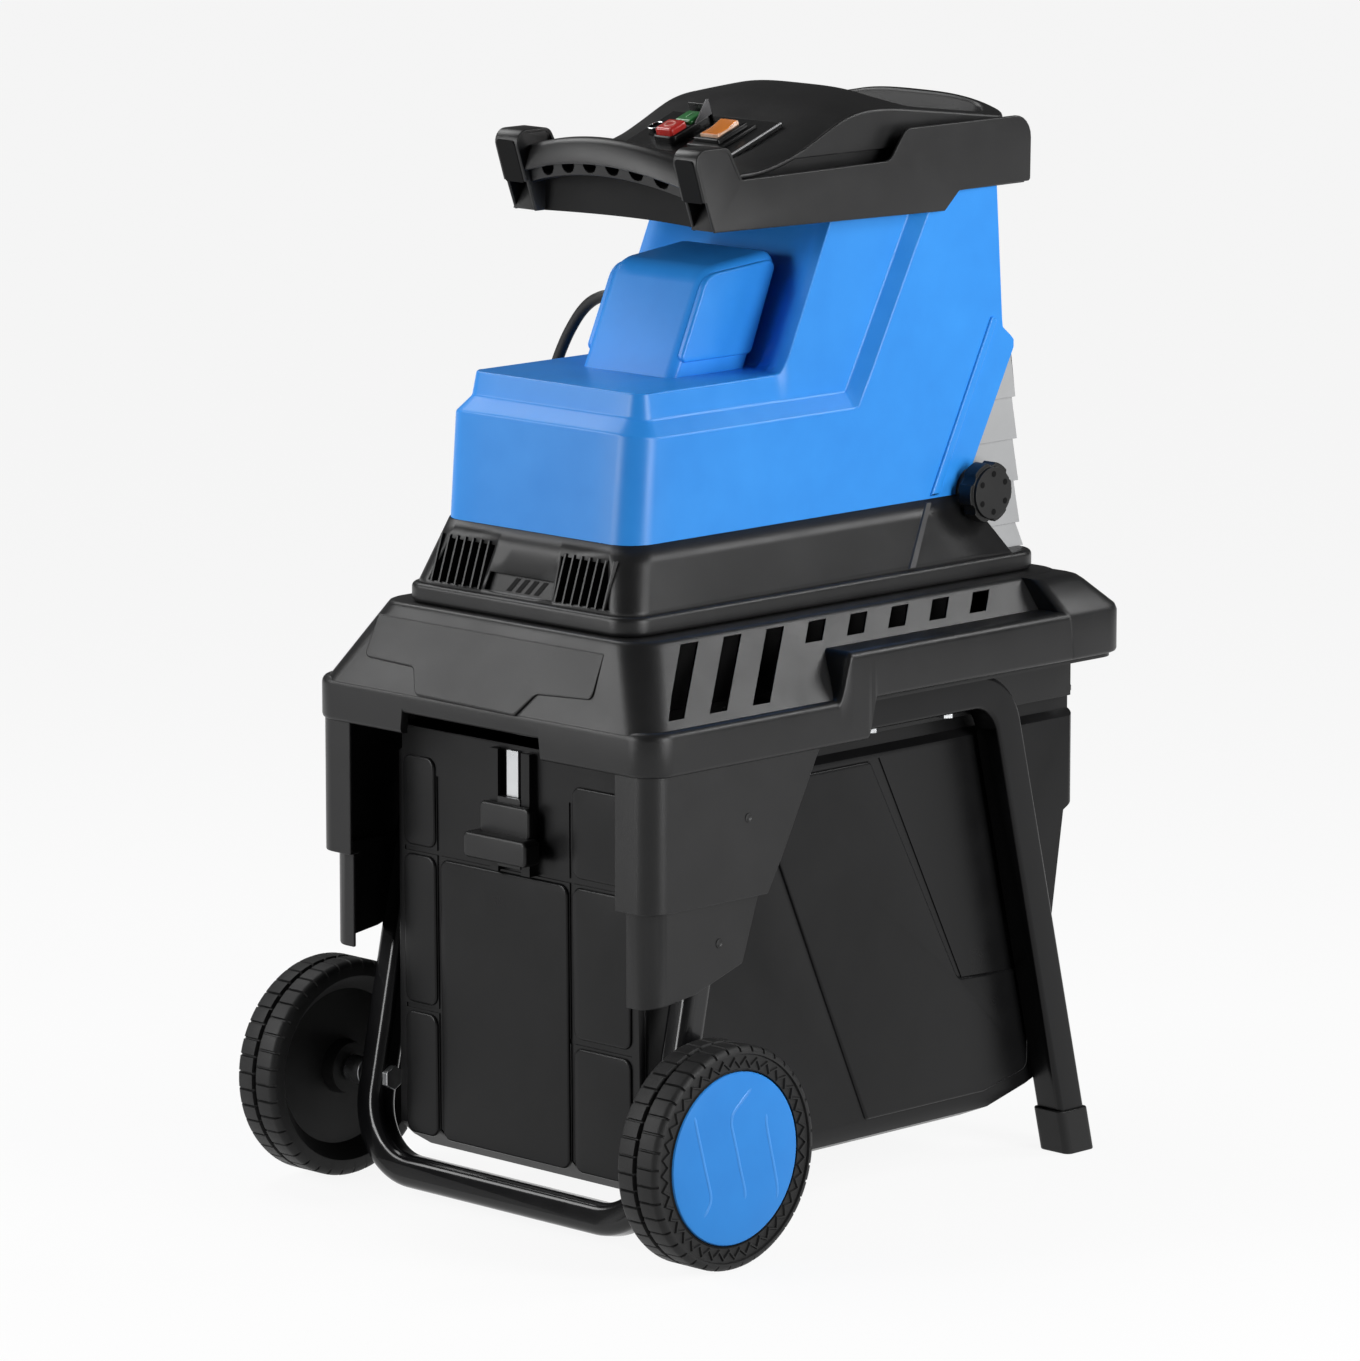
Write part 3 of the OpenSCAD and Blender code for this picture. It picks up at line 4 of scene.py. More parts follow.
import bmesh
import bpy
import numpy as np
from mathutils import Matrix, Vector


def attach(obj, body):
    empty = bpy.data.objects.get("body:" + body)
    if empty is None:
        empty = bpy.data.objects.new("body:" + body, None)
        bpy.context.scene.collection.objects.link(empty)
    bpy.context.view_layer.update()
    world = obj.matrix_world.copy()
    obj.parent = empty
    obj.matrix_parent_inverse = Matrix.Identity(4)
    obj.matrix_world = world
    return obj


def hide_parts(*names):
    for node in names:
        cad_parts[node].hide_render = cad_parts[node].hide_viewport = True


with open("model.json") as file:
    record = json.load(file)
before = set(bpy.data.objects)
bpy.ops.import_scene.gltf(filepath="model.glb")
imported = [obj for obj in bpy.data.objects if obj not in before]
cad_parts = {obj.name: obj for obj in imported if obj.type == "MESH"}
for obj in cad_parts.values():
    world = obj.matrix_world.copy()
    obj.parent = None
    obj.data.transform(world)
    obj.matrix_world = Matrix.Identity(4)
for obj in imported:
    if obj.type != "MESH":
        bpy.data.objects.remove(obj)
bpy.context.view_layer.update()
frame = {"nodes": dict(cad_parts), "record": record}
nodes = frame["nodes"]
bodyOf = {n: b for b, members in frame["record"]["behaviour"]["bodies"].items() for n in members}
mm = 0.001

# Camera
shot = {
    "place": (4.6713, -4.7321, 1.6648), "towards": (-0.6929, 0.6977, -0.1819), "lens": 208.07, "film": 36,
    "far": 200}


def makeCamera():
    data = bpy.data.cameras.new("camera")
    data.lens = shot["lens"]
    data.sensor_width = shot["film"]
    data.clip_end = shot["far"]
    eye = bpy.data.objects.new("camera", data)
    eye.location = shot["place"]
    eye.rotation_euler = Vector(shot["towards"]).to_track_quat("-Z", "Y").to_euler()
    bpy.context.scene.collection.objects.link(eye)
    bpy.context.scene.camera = eye


makeCamera()
print("camera ready")

# Mesh tools


def addPiece(name, mesh, body, finish, stands=()):
    piece = bpy.data.objects.new(name, mesh)
    bpy.context.scene.collection.objects.link(piece)
    mesh.materials.append(finish)
    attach(piece, body)
    if stands:
        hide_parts(*stands)
    return piece


def gridQuads(rows, cols, wrapRows=False, wrapCols=False):
    # corner numbers of every cell of a grid whose points are stored row by row
    r = np.arange(rows if wrapRows else rows - 1)[:, None]
    c = np.arange(cols if wrapCols else cols - 1)[None, :]
    r2, c2 = (r + 1) % rows, (c + 1) % cols
    return np.stack([r * cols + c, r * cols + c2, r2 * cols + c2, r2 * cols + c], -1).reshape(-1, 4)


def surface(loops, wrapRows=False, wrapCols=False):
    # rows of equal length, joined cell by cell
    grid = np.stack(loops)
    return grid, gridQuads(*grid.shape[:2], wrapRows, wrapCols)


def tubeArrays(loops):
    # rows that close round, with the first and the last column as end caps
    grid, faces = surface(loops, wrapRows=True)
    rows, cols = grid.shape[:2]
    first = [k * cols for k in range(rows)]
    return grid, faces.tolist() + [first, [k + cols - 1 for k in first][::-1]]


def atLevel(loop, z):
    return np.column_stack([loop, z + 0 * loop[:, 0]])


def fullTurn(count):
    return np.linspace(0, 2 * math.pi, count, endpoint=False)


def pathLengths(path):
    return np.concatenate([[0], np.cumsum(np.linalg.norm(np.diff(path, axis=0), axis=1))])


def smoothMesh(mesh, sharp):
    mesh.polygons.foreach_set("use_smooth", np.ones(len(mesh.polygons), bool))
    mesh.set_sharp_from_angle(angle=math.radians(sharp))


def softEdges(piece, width, segments=3, angle=30):
    bevel = piece.modifiers.new("soft edges", "BEVEL")
    bevel.width = width
    bevel.segments = segments
    bevel.limit_method = "ANGLE"
    bevel.angle_limit = math.radians(angle)
    bevel.use_clamp_overlap = True
    bevel.harden_normals = True
    return piece


def softCopy(node, width, finish, segments=2, angle=32):
    # the solid's own faces, joined into whole flats, with rounded edges
    work = bmesh.new()
    work.from_mesh(nodes[node].data)
    bmesh.ops.remove_doubles(work, verts=work.verts, dist=2e-5)
    bmesh.ops.dissolve_limit(work, angle_limit=math.radians(0.5), use_dissolve_boundaries=False,
                             verts=work.verts, edges=work.edges)
    mesh = bpy.data.meshes.new(node + "_soft")
    work.to_mesh(mesh)
    work.free()
    smoothMesh(mesh, angle)
    piece = addPiece(node + "_piece", mesh, bodyOf[node], finish, [node])
    return softEdges(piece, width, segments, angle) if width else piece


def roundCorners(corners, radii, steps=6):
    # closed outline whose corners are arcs: each arc turns from one side's tangent to the next
    corners = np.asarray(corners, float)
    run = []
    for k, radius in enumerate(radii):
        here, before, after = corners[k], corners[k - 1], corners[(k + 1) % len(corners)]
        toBefore = (before - here) / np.linalg.norm(before - here)
        toAfter = (after - here) / np.linalg.norm(after - here)
        if radius <= 0:
            run.append(here[None])
            continue
        half = math.acos(np.clip(toBefore @ toAfter, -1, 1)) / 2
        middle = here + (toBefore + toAfter) / np.linalg.norm(toBefore + toAfter) * radius / math.sin(half)
        start, end = here + toBefore * radius / math.tan(half), here + toAfter * radius / math.tan(half)
        a0 = math.atan2(*(start - middle)[::-1])
        sweep = (math.atan2(*(end - middle)[::-1]) - a0 + math.pi) % (2 * math.pi) - math.pi
        t = a0 + sweep * np.linspace(0, 1, steps + 1)
        run.append(middle + radius * np.stack([np.cos(t), np.sin(t)], -1))
    return np.vstack(run)


def outlineOf(table, name, steps=6):
    return roundCorners(table[name], table[name + "Radii"], steps)


def insetOutline(outline, depth):
    # moves every point in along the mean of its two sides' normals
    ahead = np.roll(outline, -1, 0) - outline
    ahead /= np.linalg.norm(ahead, axis=1, keepdims=True) + 1e-12
    normal = np.stack([-ahead[:, 1], ahead[:, 0]], -1)
    mean = normal + np.roll(normal, 1, 0)
    mean /= np.maximum((mean * normal).sum(1, keepdims=True), 0.35)
    x, y = outline.T
    area = np.sum(x * np.roll(y, -1) - np.roll(x, -1) * y)
    return outline + mean * depth * np.sign(area)


def rectangle(x, y, radius=0):
    # from a span across and a span along or up
    return roundCorners([(x[0], y[0]), (x[1], y[0]), (x[1], y[1]), (x[0], y[1])], [radius] * 4)


def slabArrays(outline, low, high, axis, soft, steps=3):
    # outline carried from low to high along one axis; near both ends it shrinks on a quarter circle
    t = np.linspace(0, math.pi / 2, steps + 1)
    inset, depth = soft * (1 - np.sin(t)), soft * (1 - np.cos(t))
    levels = np.concatenate([low + depth, high - depth[::-1]])
    rings = np.stack([insetOutline(outline, inward) for inward in np.concatenate([inset, inset[::-1]])])
    along = np.repeat(levels[:, None], len(outline), 1)
    order = {"x": (2, 0, 1), "y": (0, 2, 1), "z": (0, 1, 2)}[axis]
    points = np.stack([rings[..., 0], rings[..., 1], along], -1)[..., order]
    count, last = len(outline), (len(levels) - 1) * len(outline)
    ends = [list(range(last, last + count)), list(range(count))[::-1]]
    return points.reshape(-1, 3), gridQuads(len(levels), count, wrapCols=True).tolist() + ends


def joinArrays(parts):
    points, faces, start = [], [], 0
    for partPoints, partFaces in parts:
        points.append(np.asarray(partPoints, float).reshape(-1, 3))
        faces += [[int(i) + start for i in f] for f in partFaces]
        start += len(points[-1])
    return np.vstack(points), faces


def mirrored(part):
    points, faces = part
    return np.asarray(points, float).reshape(-1, 3) * (-1, 1, 1), [list(f)[::-1] for f in faces]


def bothSides(parts):
    return parts + [mirrored(part) for part in parts]


def formPiece(name, parts, body, finish, stands=(), sharp=40):
    # parts in millimetres, joined into one mesh of quads and longer loops; their outside is found afterwards
    points, faces = joinArrays(parts)
    mesh = bpy.data.meshes.new(name)
    mesh.from_pydata((points * mm).tolist(), [], faces)
    work = bmesh.new()
    work.from_mesh(mesh)
    bmesh.ops.remove_doubles(work, verts=work.verts, dist=1e-5)
    bmesh.ops.recalc_face_normals(work, faces=work.faces)
    work.to_mesh(mesh)
    work.free()
    smoothMesh(mesh, sharp)
    return addPiece(name, mesh, body, finish, stands)


def trimPiece(name, parts, finish, sharp=40):
    # an extra form on the stand
    formPiece(name, parts, "stand", finish, sharp=sharp)


def addWall(piece, thick):
    wall = piece.modifiers.new("wall", "SOLIDIFY")
    wall.thickness = thick * mm
    wall.offset = -1


def rowAt(rows, z):
    # straight mix of two rows that begin with their level
    first, last = [np.array(row, float) for row in rows]
    return (first + (last - first) * (z - first[0]) / (last[0] - first[0]))[1:]


def centred(half, front, rear):
    return np.array([(half, front), (half, rear), (-half, rear), (-half, front)], float)


def turnedRound(x, r, angle, place):
    # points at distance r from a line across the machine, x along it
    return np.stack(np.broadcast_arrays(x, r * np.cos(angle), r * np.sin(angle)), -1) + place


def frameArrays(outer, inner, radius, low, high, soft):
    # a ring of even loops: up the outside, over the rounded top and down the well
    turn = np.linspace(0, math.pi / 2, 4)
    out, hole = rectangle(*outer, radius), rectangle(*inner, radius * 0.4)
    loops = [(out, low)]
    loops += [(insetOutline(out, soft * (1 - math.cos(a))), high - soft * (1 - math.sin(a))) for a in turn]
    loops += [(insetOutline(hole, -soft * math.cos(a) / 2), high - soft * (1 - math.cos(a)) / 2) for a in turn]
    loops.append((hole, low))
    return surface([atLevel(loop, level) for loop, level in loops], True, True)


# Finishes: noise scales with their detail, then how the noise is used
moulding = {
    "grain": (1500, 2), "clouds": (9, 4), "smears": (34, 3), "blend": 0.35, "tones": (0.3, 0.7),
    "coatRough": 0.08, "bump": 0.0004}


def setInputs(node, values):
    for name, value in values.items():
        node.inputs[name].default_value = value


def mouldGroup():
    # fine grain as a height, broad clouds as a tone from 0 to 1
    group = bpy.data.node_groups.new("mould texture", "ShaderNodeTree")
    for way, labels in (("INPUT", ("Grain Size", "Cloud Size")), ("OUTPUT", ("Height", "Tone"))):
        for label in labels:
            group.interface.new_socket(label, in_out=way, socket_type="NodeSocketFloat")
    tree, links = group.nodes, group.links
    here, given, out = tree.new("ShaderNodeTexCoord"), tree.new("NodeGroupInput"), tree.new("NodeGroupOutput")
    noises = {}
    for name, size in (("grain", "Grain Size"), ("clouds", "Cloud Size"), ("smears", "Cloud Size")):
        noise = noises[name] = tree.new("ShaderNodeTexNoise")
        scale = tree.new("ShaderNodeMath")
        scale.operation = "DIVIDE"
        scale.inputs[0].default_value, noise.inputs["Detail"].default_value = moulding[name]
        links.new(given.outputs[size], scale.inputs[1])
        links.new(scale.outputs[0], noise.inputs["Scale"])
        links.new(here.outputs["Object"], noise.inputs["Vector"])
    blend = tree.new("ShaderNodeMix")
    blend.inputs["Factor"].default_value = moulding["blend"]
    links.new(noises["clouds"].outputs["Fac"], blend.inputs["A"])
    links.new(noises["smears"].outputs["Fac"], blend.inputs["B"])
    links.new(noises["grain"].outputs["Fac"], out.inputs["Height"])
    links.new(blend.outputs["Result"], out.inputs["Tone"])
    return group


mould = mouldGroup()


def finishOf(name, dark, pale, rough, grain=0.15, grainSize=1.0, cloudSize=1.0, metal=0.0, coat=0.0, specular=0.5):
    # colour and roughness follow the clouds, the grain is a bump
    material = bpy.data.materials.new(name)
    material.use_nodes = True
    tree, links = material.node_tree.nodes, material.node_tree.links
    shader = tree["Principled BSDF"]
    setInputs(shader, {"Metallic": metal, "Coat Weight": coat, "Coat Roughness": moulding["coatRough"],
                       "Specular IOR Level": specular})
    texture = tree.new("ShaderNodeGroup")
    texture.node_tree = mould
    setInputs(texture, {"Grain Size": grainSize, "Cloud Size": cloudSize})
    ramp = tree.new("ShaderNodeValToRGB")
    for stop, at, colour in zip(ramp.color_ramp.elements, moulding["tones"], (dark, pale)):
        stop.position, stop.color = at, (*colour, 1)
    links.new(texture.outputs["Tone"], ramp.inputs["Fac"])
    links.new(ramp.outputs["Color"], shader.inputs["Base Color"])
    spread = tree.new("ShaderNodeMapRange")
    setInputs(spread, dict(zip(("From Min", "From Max", "To Min", "To Max"), (*moulding["tones"], *rough))))
    links.new(texture.outputs["Tone"], spread.inputs["Value"])
    links.new(spread.outputs["Result"], shader.inputs["Roughness"])
    bump = tree.new("ShaderNodeBump")
    setInputs(bump, {"Strength": grain, "Distance": moulding["bump"]})
    links.new(texture.outputs["Height"], bump.inputs["Height"])
    links.new(bump.outputs["Normal"], shader.inputs["Normal"])
    return material


blackMould = finishOf("black mould", (0.008, 0.008, 0.0083), (0.013, 0.013, 0.0134), (0.3, 0.42), 0.3, specular=0.34)
hopperMould = finishOf("hopper mould", (0.012, 0.012, 0.0123), (0.018, 0.018, 0.0184), (0.3, 0.42), 0.3, specular=0.3)
boxMould = finishOf("box mould", (0.006, 0.006, 0.0063), (0.01, 0.01, 0.0104), (0.27, 0.38), 0.15, specular=0.22)
legPaint = finishOf("leg paint", (0.004, 0.004, 0.0044), (0.007, 0.007, 0.0075), (0.26, 0.36), 0.06, 2.0,
                    specular=0.24)
# black plastic made darker and duller than the hopper: painted shade for the apron recessed under the lip
apronShadeMould = finishOf("apron painted shade mould", (0.005, 0.005, 0.0052), (0.009, 0.009, 0.0092), (0.5, 0.6), 0.3, specular=0.12)
blueMould = finishOf("blue mould", (0.024, 0.255, 0.77), (0.033, 0.3, 0.85), (0.32, 0.42), 0.12, specular=0.4)
# a lighter copy of the blue for the cap's raised lines: painted highlight on the ridges
paintedHighlightBlue = finishOf("line painted highlight blue", (0.06, 0.32, 0.86), (0.075, 0.36, 0.93), (0.3, 0.4), 0.1, specular=0.4)
greyMould = finishOf("grey mould", (0.36, 0.365, 0.37), (0.42, 0.425, 0.43), (0.38, 0.5), 0.12)
tubePaint = finishOf("tube paint", (0.004, 0.004, 0.0045), (0.006, 0.006, 0.0066), (0.14, 0.24), 0.06, 2.0, coat=0.25,
                     specular=0.3)
tyreRubber = finishOf("tyre rubber", (0.01, 0.01, 0.0103), (0.017, 0.017, 0.017), (0.45, 0.6), 0.4, 0.8, specular=0.3)
softBlack = finishOf("soft black", (0.009, 0.009, 0.0092), (0.014, 0.014, 0.014), (0.42, 0.56), 0.2, specular=0.3)
panelBlack = finishOf("panel black", (0.005, 0.005, 0.0053), (0.008, 0.008, 0.0083), (0.2, 0.3), 0.08, specular=0.35)
zinc = finishOf("zinc", (0.5, 0.51, 0.52), (0.68, 0.69, 0.7), (0.22, 0.36), 0.1, metal=1.0)
castMetal = finishOf("cast metal", (0.4, 0.41, 0.42), (0.5, 0.51, 0.52), (0.45, 0.6), 0.5, 2.0, metal=1.0)
copper = finishOf("windings", (0.3, 0.13, 0.06), (0.45, 0.2, 0.09), (0.35, 0.5), 0.4, metal=0.8)
redMould = finishOf("red mould", (0.46, 0.018, 0.015), (0.56, 0.026, 0.02), (0.2, 0.3), 0.05, coat=0.3)
greenMould = finishOf("green mould", (0.008, 0.13, 0.02), (0.012, 0.19, 0.035), (0.22, 0.32), 0.05, coat=0.3)
amberMould = finishOf("amber mould", (0.75, 0.2, 0.02), (0.85, 0.28, 0.04), (0.12, 0.2), 0.03, coat=0.5)
amberRim = finishOf("amber rim", (0.8, 0.42, 0.24), (0.95, 0.7, 0.55), (0.08, 0.14), 0.05, cloudSize=0.1, coat=0.6)
edgeGrey = finishOf("edge grey", (0.3, 0.3, 0.31), (0.42, 0.42, 0.43), (0.2, 0.3), 0.05)
guardGrey = finishOf("guard grey", (0.06, 0.06, 0.063), (0.1, 0.1, 0.104), (0.3, 0.4), 0.2, cloudSize=0.3)
redMark = finishOf("red mark", (0.62, 0.2, 0.17), (0.72, 0.3, 0.26), (0.3, 0.4), 0.05)
greenMark = finishOf("green mark", (0.16, 0.42, 0.2), (0.24, 0.52, 0.28), (0.3, 0.4), 0.05)
chrome = finishOf("chrome", (0.72, 0.73, 0.75), (0.84, 0.85, 0.87), (0.06, 0.12), 0.02, metal=1.0)
# a lighter grey than the black mould: painted sheen for the glare along the housing's ribs
ribPaintedSheen = finishOf("rib painted sheen grey", (0.035, 0.035, 0.036), (0.075, 0.075, 0.077), (0.3, 0.42), 0.2)
# near-black with almost no gloss: painted shade for the dark sheets and discs set where only shade falls
paintedShadeBlack = finishOf("painted shade black", (0.0015, 0.0015, 0.0016), (0.003, 0.003, 0.0031), (0.5, 0.6), 0.1, specular=0.1)
print("finishes ready")

# Mains lead: the route of the solid, in metres
lead = {
    "thick": 0.01, "round": 6, "start": (-0.087, -0.022, 0.762), "edge": (-0.206, -0.022, 0.45),
    "fall": [(0, 0, 0), (-10, 0, -1), (-19.5, 0, -4), (-28.3, 0, -8.6), (-36.2, 0, -14.8), (-43.2, 0, -22),
             (-49.5, 0, -30), (-55.3, 0, -38.2), (-61.5, 0, -48.5), (-68, 0, -61), (-74.3, 0, -75.5),
             (-79.7, 0, -92), (-84, -1, -111), (-87, -2, -132), (-89, -3, -156), (-91, -4, -182)],
    "hang": [(26, -5, 105), (22, -6, 80), (16, -7, 57), (8, -8, 36), (-1, -9, 16), (-6, -10, -1),
             (-9, -10, -19), (-10, -10, -37), (-10, -10, -54)]}


def makeLead():
    route = np.vstack([np.array(lead["start"]) + np.array(lead["fall"]) * mm,
                       np.array(lead["edge"]) + np.array(lead["hang"]) * mm])
    data = bpy.data.curves.new("mains_lead_tube", "CURVE")
    data.dimensions = "3D"
    data.bevel_depth = lead["thick"] / 2
    data.bevel_resolution = data.resolution_u = lead["round"]
    data.use_fill_caps = True
    line = data.splines.new("BEZIER")
    line.bezier_points.add(len(route) - 1)
    line.bezier_points.foreach_set("co", route.astype(np.float32).ravel())
    for knot in line.bezier_points:
        knot.handle_left_type = knot.handle_right_type = "AUTO"
    tube = bpy.data.objects.new("mains_lead_tube", data)
    bpy.context.scene.collection.objects.link(tube)
    data.materials.append(softBlack)
    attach(tube, "stand")
    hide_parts("mains_lead")
    length = float(np.linalg.norm(np.diff(route, axis=0), axis=1).sum())
    return tube, route, length


leadTube, leadRoute, leadLength = makeLead()
plugPiece = softCopy("mains_plug", 0.0012, softBlack)
print("lead ready, length", round(leadLength, 3))

# Pieces that keep the solid's own form, with rounded edges
copies = {
    "left_skirt": (0.0012, blackMould), "right_skirt": (0.0012, blackMould),
    "box_rails": (0.0006, blackMould), "front_frame": (0, tubePaint), "left_leg": (0, legPaint),
    "right_leg": (0, legPaint), "left_foot": (0.0012, softBlack), "right_foot": (0.0012, softBlack),
    "collection_box": (0.001, boxMould), "lock_rod": (0.0005, zinc),
    "feed_chute": (0.001, blackMould), "control_panel": (0.0006, panelBlack),
    "adjusting_knob": (0.0012, softBlack), "cable_gland": (0.001, softBlack),
    "axle_bolts": (0.0005, zinc), "axle_spacers": (0.0006, zinc), "axle_nuts": (0.0005, zinc),
    "leg_bolts": (0.0005, zinc), "frame_bolts": (0.0005, zinc)}
for node, (width, finish) in copies.items():
    softCopy(node, width, finish)
print("rounded pieces ready", len(copies))

# Two small round moulding marks on each skirt
marks = {
    "places": [(202.4, -151.6, 365.2), (194.4, -178.1, 261.4)],
    "profile": [(4.4, 0), (3.8, 0.7), (3, 0.7), (2.2, 0.15), (0, 0.1)]}


def makeMarks():
    # a low ring turned about the line out of the skirt's side
    r, out = np.array(marks["profile"], float).T[..., None]
    rings = [surface(turnedRound(out, r, fullTurn(32), place), wrapCols=True) for place in marks["places"]]
    trimPiece("skirt_marks", bothSides(rings), blackMould)


makeMarks()
print("skirt marks ready")

# Chassis: half loops from the front middle round the right corner to the rear middle, one per level
chassis = {
    "slope": [(513, 160, -237.2, 291.4, 29), (452, 197, -267, 303, 27)],
    "crown": [(516, 128, -215, 270, 20), (516, 156, -234, 288, 27), (515.1, 158.2, -235.8, 290, 28)],
    "levels": [513, 511, 503, 495.5, 476, 457, 452, 447], "slotSpan": (457, 511),
    "longLow": [-239, -219, -189, -168.5, -138, -117.5], "longTop": [-190, -169, -139, -118, -88, -67],
    "shortLow": [-87, -66.2, -36.2, -15.4, 14.6, 35.4, 65.4, 86.2, 116.2, 137], "slant": 50,
    "restLow": [160, 190, 206, 212, 218, 226, 236, 250, 262],
    "restTop": [196, 212, 220, 224, 228, 234, 242, 252, 260],
    "wall": 3, "arc": 12, "rim": (206, -270, 315, 26), "rimSoft": 7, "rimFoot": 0.6, "rimInset": 8,
    "rimRuns": [(-243, -60, 12), (-60, 12, 1.5), (14, 288, 12)], "rimLap": (0.4, 8),
    "ledge": (11, 23, 6, 24), "fieldRings": [(-0.4, 0), (0.55, 0), (0.85, 0.4), (1, 1.2)],
    "bumper": [(446.8, 203, 243, 312, 20), (448, 205.4, 241, 314.6, 22), (450, 206.4, 240, 315.6, 23),
               (484, 206.4, 236, 315.6, 23), (489, 204.6, 235.3, 313.8, 22), (510, 184, 232.2, 294, 18),
               (514, 179, 231.6, 289, 16), (515.6, 174, 231.4, 284, 13)], "bumperFront": 8,
    "liner": (125, -222, 262, 447, 515), "top": (450, 39.5, -47, 17), "low": (412, 34.5, -10, 11),
    "notch": (75, 92, 430), "fieldRadii": [1, 6, 7, 7, 5, 7, 5, 1], "fieldUp": (3.0, 446, 508),
    "field": [(-149, 505), (-148.4, 470), (-87, 468.4), (-74, 447.5), (47, 446), (63, 465), (127, 468.6),
              (123, 505)], "fieldLean": (0.9, 0.44), "deck": ((-200, 200), (-222, 310)), "deckSpan": (443, 447),
    "deckRadius": 18, "chute": ((-60, 60), (165, 259)), "slotSoft": 0.0008}


def halfLoop(half, front, rear, radius, frontX, sideY):
    a, b = np.linspace(-math.pi / 2, 0, chassis["arc"]), np.linspace(0, math.pi / 2, chassis["arc"])
    sideY = np.clip(sideY, front + radius + 0.3, rear - radius - 0.3)
    x = np.concatenate([frontX, half - radius + radius * np.cos(a), np.full(len(sideY), half),
                        half - radius + radius * np.cos(b), [half / 2, 0]])
    y = np.concatenate([np.full(len(frontX), front), front + radius + radius * np.sin(a), sideY,
                        rear - radius + radius * np.sin(b), [rear, rear]])
    return np.stack([x, y], -1)


def ease(value, start, run):
    t = np.clip((value - start) / run, 0, 1)
    return t * t * (3 - 2 * t)


def chassisBody():
    # each level is a rounded outline; the slots are the cells left out of its slanting side
    lowY = np.array(chassis["longLow"] + chassis["shortLow"] + chassis["restLow"], float)
    shortTop = [y + chassis["slant"] for y in chassis["shortLow"]]
    topY = np.array(chassis["longTop"] + shortTop + chassis["restTop"], float)
    z0, z1 = chassis["slotSpan"]
    rows = list(chassis["crown"]) + [(z, *rowAt(chassis["slope"], z)) for z in chassis["levels"]]
    frontX = np.linspace(0, 90, 7)
    loops = []
    for z, half, front, rear, radius in rows:
        share = np.clip((z - z0) / (z1 - z0), -0.1, 1.1)
        loop = halfLoop(half, front, rear, radius, frontX * (half - radius) / 100, lowY + (topY - lowY) * share)
        loops.append(atLevel(loop, z))
    grid, faces = surface(loops)
    row, col = np.divmod(np.arange(len(faces)), grid.shape[1] - 1)
    col -= len(frontX) + chassis["arc"]
    first = len(chassis["crown"])
    longs, shorts = len(chassis["longLow"]), len(chassis["shortLow"])
    even, rest = (row > first) & (col % 2 == 0), col - longs
    tall = even & (col >= 0) & (col < longs) & (row < first + 5)
    small = even & (rest >= 0) & (rest < shorts) & (row < first + 3)
    return grid, faces[~(tall | small)]


def rimArrays(notch):
    # a strip round the rim: ledge, rounded top, face, rounded foot; both edges jog upwards towards the rear
    half, front, rear, radius = chassis["rim"]
    frontX = np.array([0, 30, 60, notch - 1, notch + 1, 110, 140, half - radius - 1], float)
    sideY = np.concatenate([np.arange(*run) for run in chassis["rimRuns"]])
    loop = halfLoop(half, front, rear, radius, frontX, sideY)
    inside = halfLoop(half - 1, front + 1, rear - 1, radius - 1, np.minimum(frontX, half - radius), sideY)
    inward = inside - loop
    inward /= np.linalg.norm(inward, axis=1, keepdims=True)
    y = loop[:, 1]
    top, low = [level + up * ease(y, *span) for level, up, *span in (chassis["top"], chassis["low"])]
    low = np.where((loop[:, 0] < notch) & (y < 0), chassis["notch"][2], low)
    side = np.abs(inward[:, 0])
    narrow, wider, ahead, most = chassis["ledge"]
    ledge = (narrow + wider * ease(y, *chassis["top"][2:])) * side + ahead * (1 - side)
    ledge = np.where(side > 0.99, ledge, np.minimum(ledge, most))
    soft, foot, turn = chassis["rimSoft"], chassis["rimFoot"], np.linspace(0, math.pi / 2, 6)
    sunk, lap = chassis["rimLap"]
    rows = [(ledge, top - sunk)] + [(soft * (1 - math.sin(a)), top - soft * (1 - math.cos(a))) for a in turn]
    rows += [(foot * soft * (1 - math.cos(a)), low + foot * soft * (1 - math.sin(a))) for a in turn[::2]]
    rows += [(chassis["rimInset"], low), (chassis["rimInset"], top - lap)]
    return surface([atLevel(loop + inward * (deep + 0 * y)[:, None], level) for deep, level in rows])


def fieldArrays():
    # a plate on the front slope whose height runs out towards its top edge
    outline = outlineOf(chassis, "field")
    (up, low, high), (out, lift) = chassis["fieldUp"], chassis["fieldLean"]
    rings = []
    for share, inset in chassis["fieldRings"]:
        ring = insetOutline(outline, inset)
        front = np.array([rowAt(chassis["slope"], z)[1] for z in ring[:, 1]])
        rise = share * up * np.clip((high - ring[:, 1]) / (high - low), 0, 1)
        rings.append(np.column_stack([ring[:, 0], front - rise * out, ring[:, 1] + rise * lift]))
    grid, faces = surface(rings, wrapCols=True)
    return grid, faces.tolist() + [list(range(3 * len(outline), 4 * len(outline)))]


def bumperArrays():
    # rounded outlines stacked level by level
    small = chassis["bumperFront"]
    loops = []
    for z, half, front, rear, radius in chassis["bumper"]:
        outline = roundCorners(centred(half, front, rear), [small, radius, radius, small], 8)
        loops.append(atLevel(outline, z))
    grid, faces = surface(loops, wrapCols=True)
    rows, cols = grid.shape[:2]
    return grid, faces.tolist() + [list(range(cols))[::-1], list(range((rows - 1) * cols, rows * cols))]


